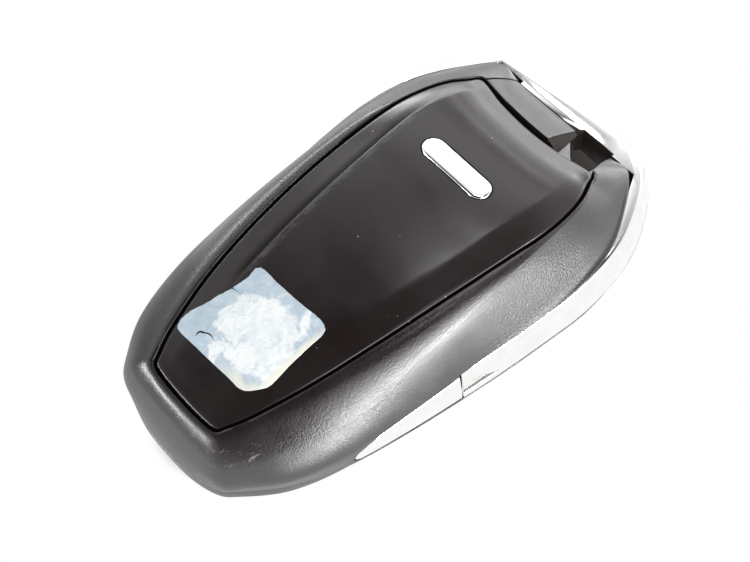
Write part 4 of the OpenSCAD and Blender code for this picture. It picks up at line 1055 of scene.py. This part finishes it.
def side_trim(side, node):
    seam, edge = fine(SEAM), fine(EDGE)
    rings = [seam, inset(lerp(seam, edge, 0.3), -0.06), inset(lerp(seam, edge, 0.7), -0.06), edge]
    obj = ring_solid(node + "_strip", rings)
    carve(obj, trim_cutter(side, -0.03), operation="INTERSECT")
    soften(obj, 0.16, 40, 3)
    tongue = bar(side, NECK_W + 0.02, NECK_W + TONGUE_T, ARM_AT - 2, BOW_Z + 0.5, TONGUE_L + 2, BOW_H - 1)
    carve(obj, tongue, operation="UNION")
    return place(obj, "housing", [CHROME], node, 40)


def key_bow():
    base = outline(BOW_SHAPE, SEAM_W, 0, OVERALL_L, BOW_Z)
    top = outline(BOW_SHAPE, HOUSING_W / 2 + SLIDE_GAP, EDGE_SETBACK, OVERALL_L - BOW_TAPER, BOW_Z + BOW_H)
    lo, hi = BOW_FOOT_R, BOW_TOP_R
    rings = [lower(inset(base, lo * (1 - s)), -lo * (1 - c)) for c, s in quarter(4)]
    for t in (0.3, 0.5, 0.7):
        rings.append(inset(lerp(lower(base, -lo), lower(top, hi), t), -BOW_SWELL * 4 * t * (1 - t)))
    rings += [lower(inset(top, hi * (1 - c)), hi * (1 - s)) for c, s in quarter(6)]
    obj = ring_solid("key_bow_shell", [fine(r) for r in rings])
    g = SLIDE_GAP
    pad, lip, seat, wide = BOW_Y - BOW_PAD - PAD_LIP, BOW_Y - HORN_LIP, along(SLIDER_END), HORN_W + g
    slant = (NECK_W - HORN_W) / (HOUSING_L - SHOULDER_AT)
    root = wide + slant * (along(HOUSING_L) + g - seat)
    hollow = [(-NECK_W - g, -FAR), (NECK_W + g, -FAR), (NECK_W + g, along(SHOULDER_AT)), (root, seat), (wide, lip)]
    hollow += [(RECESS_OUT / 2, lip), (RECESS_OUT / 2, BOW_Y), (EYE_X + 0.3, BOW_Y), (EYE_X - 0.4, pad)]
    hollow += [(0.35 - RECESS_OUT / 2, pad), (0.35 - RECESS_OUT / 2, lip), (-wide, lip), (-root, seat)]
    hollow += [(-NECK_W - g, along(SHOULDER_AT))]
    ends = side_prism([
        (-FAR, -FAR), (ARM_AT, -FAR), (ARM_AT, BOW_Z), (ARM_AT + ARM_SLANT, BOW_Z + BOW_H), (ARM_AT + ARM_SLANT, FAR),
        (-FAR, FAR),
    ])
    reach = NECK_W + TONGUE_T + g
    slot = block(-reach, 0, BOW_Z + 0.5 - g, (2 * reach, ARM_AT + TONGUE_L + g, BOW_H - 1 + 2 * g), 1)
    skin, high = HOUSING_W / 2 - 0.65, BOW_Z + BOW_H - 0.9
    notches = []
    for s in (-1, 1):
        wedge = prism([
            (s * (skin - NAIL_D), along(ARM_AT - 1)), (s * FAR, along(ARM_AT - 1)), (s * FAR, along(ARM_AT + NAIL_L + 2)),
            (s * (skin + 0.5), along(ARM_AT + NAIL_L + 2)),
        ], 0, FAR, 2)
        notches.append(carve(wedge, side_prism(
            [(ARM_AT - 1, high - NAIL_H), (ARM_AT - 1, high), (ARM_AT + NAIL_L, high - NAIL_H)], -FAR, FAR, 2),
            operation="INTERSECT"))
    half, front, back = TANG_W / 2 + PRESS_GAP, BOW_Y - BOW_PAD - 1, BOW_Y + TANG_L + PRESS_GAP
    tang = prism([
        (BLADE_X - half, front), (BLADE_X + half, front), (BLADE_X + half, back), (BLADE_X - half, back),
    ], BLADE_Z - PRESS_GAP, BLADE_Z + BLADE_T + PRESS_GAP, 1)
    r, pin_y = PIN_D / 2 + PRESS_GAP, BOW_Y + TANG_L / 2
    hole = prism([(BLADE_X + r * x, pin_y + r * y) for x, y in zip(*circle(40))], BOW_Z - 1, BOW_Z + BOW_H - 1.2, 1)
    carve(obj, prism(hollow, -1, FAR, 1), ends, slot, *notches, tang, hole)
    soften(obj, 0.1, 45)
    rails = [
        bar(s, NECK_W - RAIL_D, NECK_W + g + 0.5, ARM_AT + TONGUE_L + 2, RAIL_Z,
            SHOULDER_AT - ARM_AT - TONGUE_L - 4, RAIL_H, 1)
        for s in (-1, 1)
    ]
    carve(obj, *rails, operation="UNION")
    return place(obj, "emergency_key", [CHROME, EYE_BROWN, NAIL_METAL], "key_bow", 38)


# Release slider

def release_slider():
    rings, _ = rear_rings()
    obj = ring_solid("release_slider_shell", rings[:-2] + [fine(GROOVE)])
    start = -recess_w(SLIDER_AT + 1) + SLIDER_GAP
    inner = [(x, along(SLIDER_AT + SLIDER_BOW * x * x)) for x in np.linspace(start, SLIDER_X, 13)]
    plan = inner + [(SLIDER_X, along(SLIDER_END)), (SLIDER_GAP - recess_w(SLIDER_END), along(SLIDER_END))]
    carve(obj, prism(plan, 0, FAR, 1), operation="INTERSECT")
    carve(obj, side_prism([
        (FLOOR_AT - 4, FLOOR_IN + SLIDER_GAP), (FLOOR_AT, FLOOR_IN + SLIDER_GAP),
        (HOUSING_L + 3, floor_h(HOUSING_L + 3) + SLIDER_GAP), (HOUSING_L + 3, -FAR), (FLOOR_AT - 4, -FAR),
    ]))
    rings = []
    for n, rise, wide in ((SLIDER_AT + 0.15, 1.35, RAMP_W), (SLIDER_END - 0.1, 0.15, 0.35 * RAMP_W)):
        foot = floor_h(n) + SLIDER_GAP + 0.03
        rings.append(np.array([
            (SLIDER_X - 0.4, along(n), foot), (SLIDER_X + wide, along(n), foot), (SLIDER_X - 0.1, along(n), foot + rise),
            (SLIDER_X - 0.4, along(n), foot + rise),
        ]))
    root = SLIDER_GAP + 0.3
    parts = [ring_solid("ramp", rings, marks=[1])]
    for n, l, z, x, w in (
        (LEG_AT, LEG_L, LEG_Z, LEG_X, LEG_W),
        (SPRING_AT - SPRING_D / 2, SPRING_D, SPRING_Z - SPRING_D / 2, SPRING_X - SPRING_L - LUG_W, LUG_W),
    ):
        parts.append(side_prism([(n, z), (n + l, z), (n + l, floor_h(n + l) + root), (n, floor_h(n) + root)], x, x + w))
    carve(obj, *parts, operation="UNION")
    soften(obj, 0.1, 38)
    return place(obj, "release", [SLIDER_BLACK, SLIDER_CUT], "release_slider", 38)


def slider_spring(sides=10, steps=20):
    """The coil between the slider's lug and the housing, built at rest as a fixed coil on the housing."""
    low, high, r = SPRING_X - SPRING_L + WIRE_D, SPRING_X - WIRE_D, (SPRING_D - WIRE_D) / 2
    out, ahead = circle(sides)
    reach, y = r + WIRE_D / 2 * out, along(SPRING_AT)
    rings = []
    for t in np.linspace(0, 1, COILS * steps + 1):
        a, x = 2 * math.pi * COILS * t, lerp(low, high, t) + WIRE_D / 2 * ahead
        rings.append(np.stack([x, y + reach * math.cos(a), SPRING_Z + reach * math.sin(a)], 1))
    obj = place(ring_solid("slider_spring_coil", rings), "housing", [STEEL], "slider_spring", 60)
    along(SPRING_AT) / 1000
    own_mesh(obj)
    return obj


# Buttons

def dish(x, y):
    """Height of a button's outer face, which is dished about its middle."""
    return np.maximum(BUTTON_RECESS, BUTTON_RECESS + 0.25 - (x * x + y * y) / 80)


def front_button(i, name, node, body):
    top = FRONT_T + INSIDE_GAP
    face = BUTTON_RECESS
    rings = [stadium_ring(BUTTON_L, BUTTON_W, z, g) for g, z in (
        (FLANGE_W, top + FLANGE_T), (FLANGE_W, top), (0, top), (0, face + 0.3), (-0.05, face + 0.12), (-0.16, face + 0.03),
        (-0.3, face),
    )]
    for share in (0.9, 0.8, 0.7, 0.58, 0.46, 0.34, 0.22, 0.1, 0.03):
        p = stadium(BUTTON_L - 0.6, BUTTON_W - 0.6, 24) * share
        rings.append(np.column_stack([p, dish(p[:, 0], p[:, 1])]))
    obj = ring_solid(name, rings)
    obj.data.transform(Matrix.Translation((0, along(button_n(i)), 0)))
    return place(obj, body, [BUTTON], node, 40)


def ribbon(points, width):
    """The two sides of a line of the given width, as a closed outline."""
    p = np.array(points, float)
    t = np.gradient(p, axis=0)
    t /= np.linalg.norm(t, axis=1)[:, None]
    side = np.stack([-t[:, 1], t[:, 0]], 1) * width / 2
    return np.vstack([p + side, (p - side)[::-1]])


def icon(i, name, body, outlines):
    """Flat printed marks that follow a button's dished face."""
    verts, faces = [], []
    for shape in outlines:
        n, base = len(shape), len(verts)
        for lift in (-0.025, 0.03):
            verts += [(x, y + along(button_n(i)), float(dish(x, y)) + lift) for x, y in shape]
        faces += [tuple(range(base, base + n)), tuple(range(base + 2 * n - 1, base + n - 1, -1))]
        faces += [(base + k, base + n + k, base + n + (k + 1) % n, base + (k + 1) % n) for k in range(n)]
    return place(new_object(name, verts, faces), body, [PRINT], None, 40)


def padlock(open_shackle):
    body = rounded([(-1.35, -1.7), (1.35, -1.7), (1.35, 0.25), (-1.35, 0.25)], [0.3] * 4)
    a = np.linspace(0, math.pi, 15)
    arc = [(0.85 * math.cos(t), 0.95 + 0.85 * math.sin(t)) for t in a]
    arc = [(0.85, 0.35)] + arc + [(-0.85, 0.95 if open_shackle else 0.35)]
    return [body, ribbon(arc, 0.42)]


def boot_mark():
    car = [(-2.9, -1.1), (-2.9, -0.2), (-2.3, 0.05), (-1.5, 0.85), (0.3, 0.9), (1.1, 0.2), (1.9, 0.1)]
    sill = [(-2.6, -1.1), (-1.2, -1.15), (0.6, -1.15), (2.6, -1.1)]
    lid = [(1.15, 0.45), (1.7, 1.1), (2.4, 1.5)]
    tail = [(2.5, -0.9), (2.6, -0.4), (2.45, 0.1)]
    return [ribbon(p, 0.36) for p in (car, sill, lid, tail)]


# Pieces

rear_housing()
front_housing()
cover = rear_cover()
badge_inlay()
label_remnant(cover)
side_trim(-1, "side_trim_left")
side_trim(1, "side_trim_right")
key_bow()
release_slider()
slider_spring()
for number, (kind, marks) in enumerate((("unlock", padlock(True)), ("boot", boot_mark()), ("lock", padlock(False)))):
    front_button(number, kind + "_button_cap", kind + "_button", kind + "_press_body")
    icon(number, kind + "_mark", kind + "_press_body", marks)

CARRIED = {
    "key_blade": STEEL, "blade_pin": STEEL, "inner_chassis": CHASSIS, "coin_cell": CELL_STEEL,
    "contact_positive": BRASS, "contact_negative": BRASS, "circuit_board": BOARD, "controller_chip": CHIP,
    "lf_antenna": FERRITE, "rf_crystal": CELL_STEEL, "switch_lock": SWITCH, "switch_boot": SWITCH, "switch_unlock": SWITCH,
    "button_mat": SILICONE,
}
for node, material in CARRIED.items():
    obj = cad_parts[node]
    obj.data.materials.clear()
    obj.data.materials.append(material)


# Stage

WHITE = (1, 1, 1, 1)
# The floor's half size, height and colour, and the oval under the part that stays unlit and has a painted shadow
# colour, in metres
FLOOR_SIZE, FLOOR_Z, FLOOR_COLOR = 3.0, -0.0001, (0.9, 0.9, 0.9)
OVAL_W, OVAL_L, OVAL_Y, OVAL_SHADOW_COLOR = 0.0175, 0.038, 0.0012, (0.075, 0.067, 0.062)


def white_floor():
    """A white floor that keeps the shadow under the part, darkened there by a painted shadow colour, and can be looked
    through from below.
    """
    mesh = bpy.data.meshes.new("floor")
    corners = ((-1, -1), (1, -1), (1, 1), (-1, 1))
    mesh.from_pydata([(x * FLOOR_SIZE, y * FLOOR_SIZE, FLOOR_Z) for x, y in corners], [], [(0, 1, 2, 3)])
    s = Shader("floor_white", FLOOR_COLOR, 0.9, specular=0.0)
    x, y, seen = s.axis("X"), s.axis("Y"), s.ray("Camera")
    across, length = s.times(x, 1 / OVAL_W), s.times(s.plus(y, -OVAL_Y), 1 / OVAL_L)
    lit = s.span(s.plus(s.times(across, across), s.times(length, length)), 0.92, 1.12)
    # Painted shadow: inside the oval the floor's colour turns to a dark shadow colour
    s.color(s.mix(lit, OVAL_SHADOW_COLOR, FLOOR_COLOR))
    shade = s.most(s.span(x, -0.045, -0.012, 0.5, 1.0), s.span(y, -0.03, -0.012))
    glow = s.add("Emission", {"Color": WHITE, "Strength": s.most(shade, seen)})
    share = s.most(s.ray("Glossy"), s.ray("Transmission"), s.times(seen, lit))
    shown = s.add("MixShader", {0: share, 1: s.bsdf.outputs[0], 2: glow})
    below = s.add("NewGeometry", out="Backfacing")
    sided = s.add("MixShader", {0: below, 1: shown, 2: s.add("BsdfTransparent")})
    s.put(s.tree.nodes["Material Output"].inputs["Surface"], sided)
    mesh.materials.append(s.mat)
    obj = linked("floor", mesh)


def studio_world():
    """White as the camera, metal and glass see it, with a dark opening overhead, and a softer level as light."""
    world = bpy.data.worlds.new("studio")
    bpy.context.scene.world = world
    world.use_nodes = True
    world.node_tree.nodes.clear()
    s = Nodes(world.node_tree)
    overhead = Vector((0.324, -0.187, 0.927)).normalized()
    facing = s.add("VectorMath", {0: s.add("TexCoord", out="Generated"), 1: overhead}, "Value", operation="DOT_PRODUCT")
    light = s.add("Background", {"Color": WHITE, "Strength": 0.52})
    mirrored = s.add("Background", {"Color": s.span(facing, 0.469, 0.766, 1.0, 0.02)})
    first = s.add("MixShader", {0: s.ray("Glossy"), 1: light, 2: mirrored})
    direct = s.most(s.ray("Camera"), s.ray("Transmission"))
    shown = s.add("MixShader", {0: direct, 1: first, 2: s.add("Background", {"Color": WHITE})})
    s.put(s.tree.nodes.new("ShaderNodeOutputWorld").inputs["Surface"], shown)


def heading(azimuth, elevation):
    """The direction at two angles in degrees; azimuth runs from +X towards +Y."""
    a, e = math.radians(azimuth), math.radians(elevation)
    return Vector((math.cos(a) * math.cos(e), math.sin(a) * math.cos(e), math.sin(e)))


def aimed(name, data, location, turn):
    obj = linked(name, data)
    obj.location, obj.rotation_mode, obj.rotation_quaternion = location, "QUATERNION", turn
    return obj


def softbox(name, azimuth, elevation, distance, width, height, radiance):
    """A softbox that faces the part; radiance is the brightness of its face."""
    way = heading(azimuth, elevation)
    light = bpy.data.lights.new(name, "AREA")
    light.shape, light.size, light.size_y = "RECTANGLE", width, height
    light.energy = radiance * math.pi * width * height
    aimed(name, light, way * distance + Vector((0, 0, 0.008)), way.to_track_quat("Z", "Y"))


# The camera's direction from the part in degrees, the point it looks at and its distance from there, in mm
CAMERA_TURN, CAMERA_RISE, CAMERA_AIM, CAMERA_BACK = -41.92, 60.82, (3.368, -5.625, 11.8), 175.35


def photo_camera():
    back = heading(CAMERA_TURN, CAMERA_RISE)
    data = bpy.data.cameras.new("camera")
    data.lens, data.sensor_width, data.sensor_fit = 67.2, 36.0, "HORIZONTAL"
    data.clip_start, data.clip_end = 0.01, 20
    place_at = (Vector(CAMERA_AIM) + back * CAMERA_BACK) * 0.001
    bpy.context.scene.camera = aimed("camera", data, place_at, (-back).to_track_quat("-Z", "Y"))


white_floor()
studio_world()
for lamp in (
    ("right_box", 7, 14, 0.6, 0.52, 0.27, 6.5),
    ("right_strip", 8, 5, 0.6, 0.6, 0.06, 27.0),
    ("right_upper_box", 5, 36, 0.6, 0.4, 0.12, 2.0),
    ("back_strip", 85, 5, 0.6, 0.4, 0.06, 6.0),
    ("back_box", 116, 9, 0.7, 1.0, 0.2, 4.0),
    ("back_upper_box", 125, 40, 0.7, 0.7, 0.22, 1.1),
    ("top_box", 110, 65, 0.7, 0.18, 0.13, 5.0),
    ("side_top_box", 38, 64, 0.7, 0.14, 0.10, 5.0),
    ("left_strip", 162, 4, 0.6, 0.5, 0.06, 8.0),
    ("front_strip", 240, 5, 0.6, 0.45, 0.06, 24.0),
):
    softbox(*lamp)
photo_camera()
bpy.context.scene.view_settings.view_transform = "Standard"
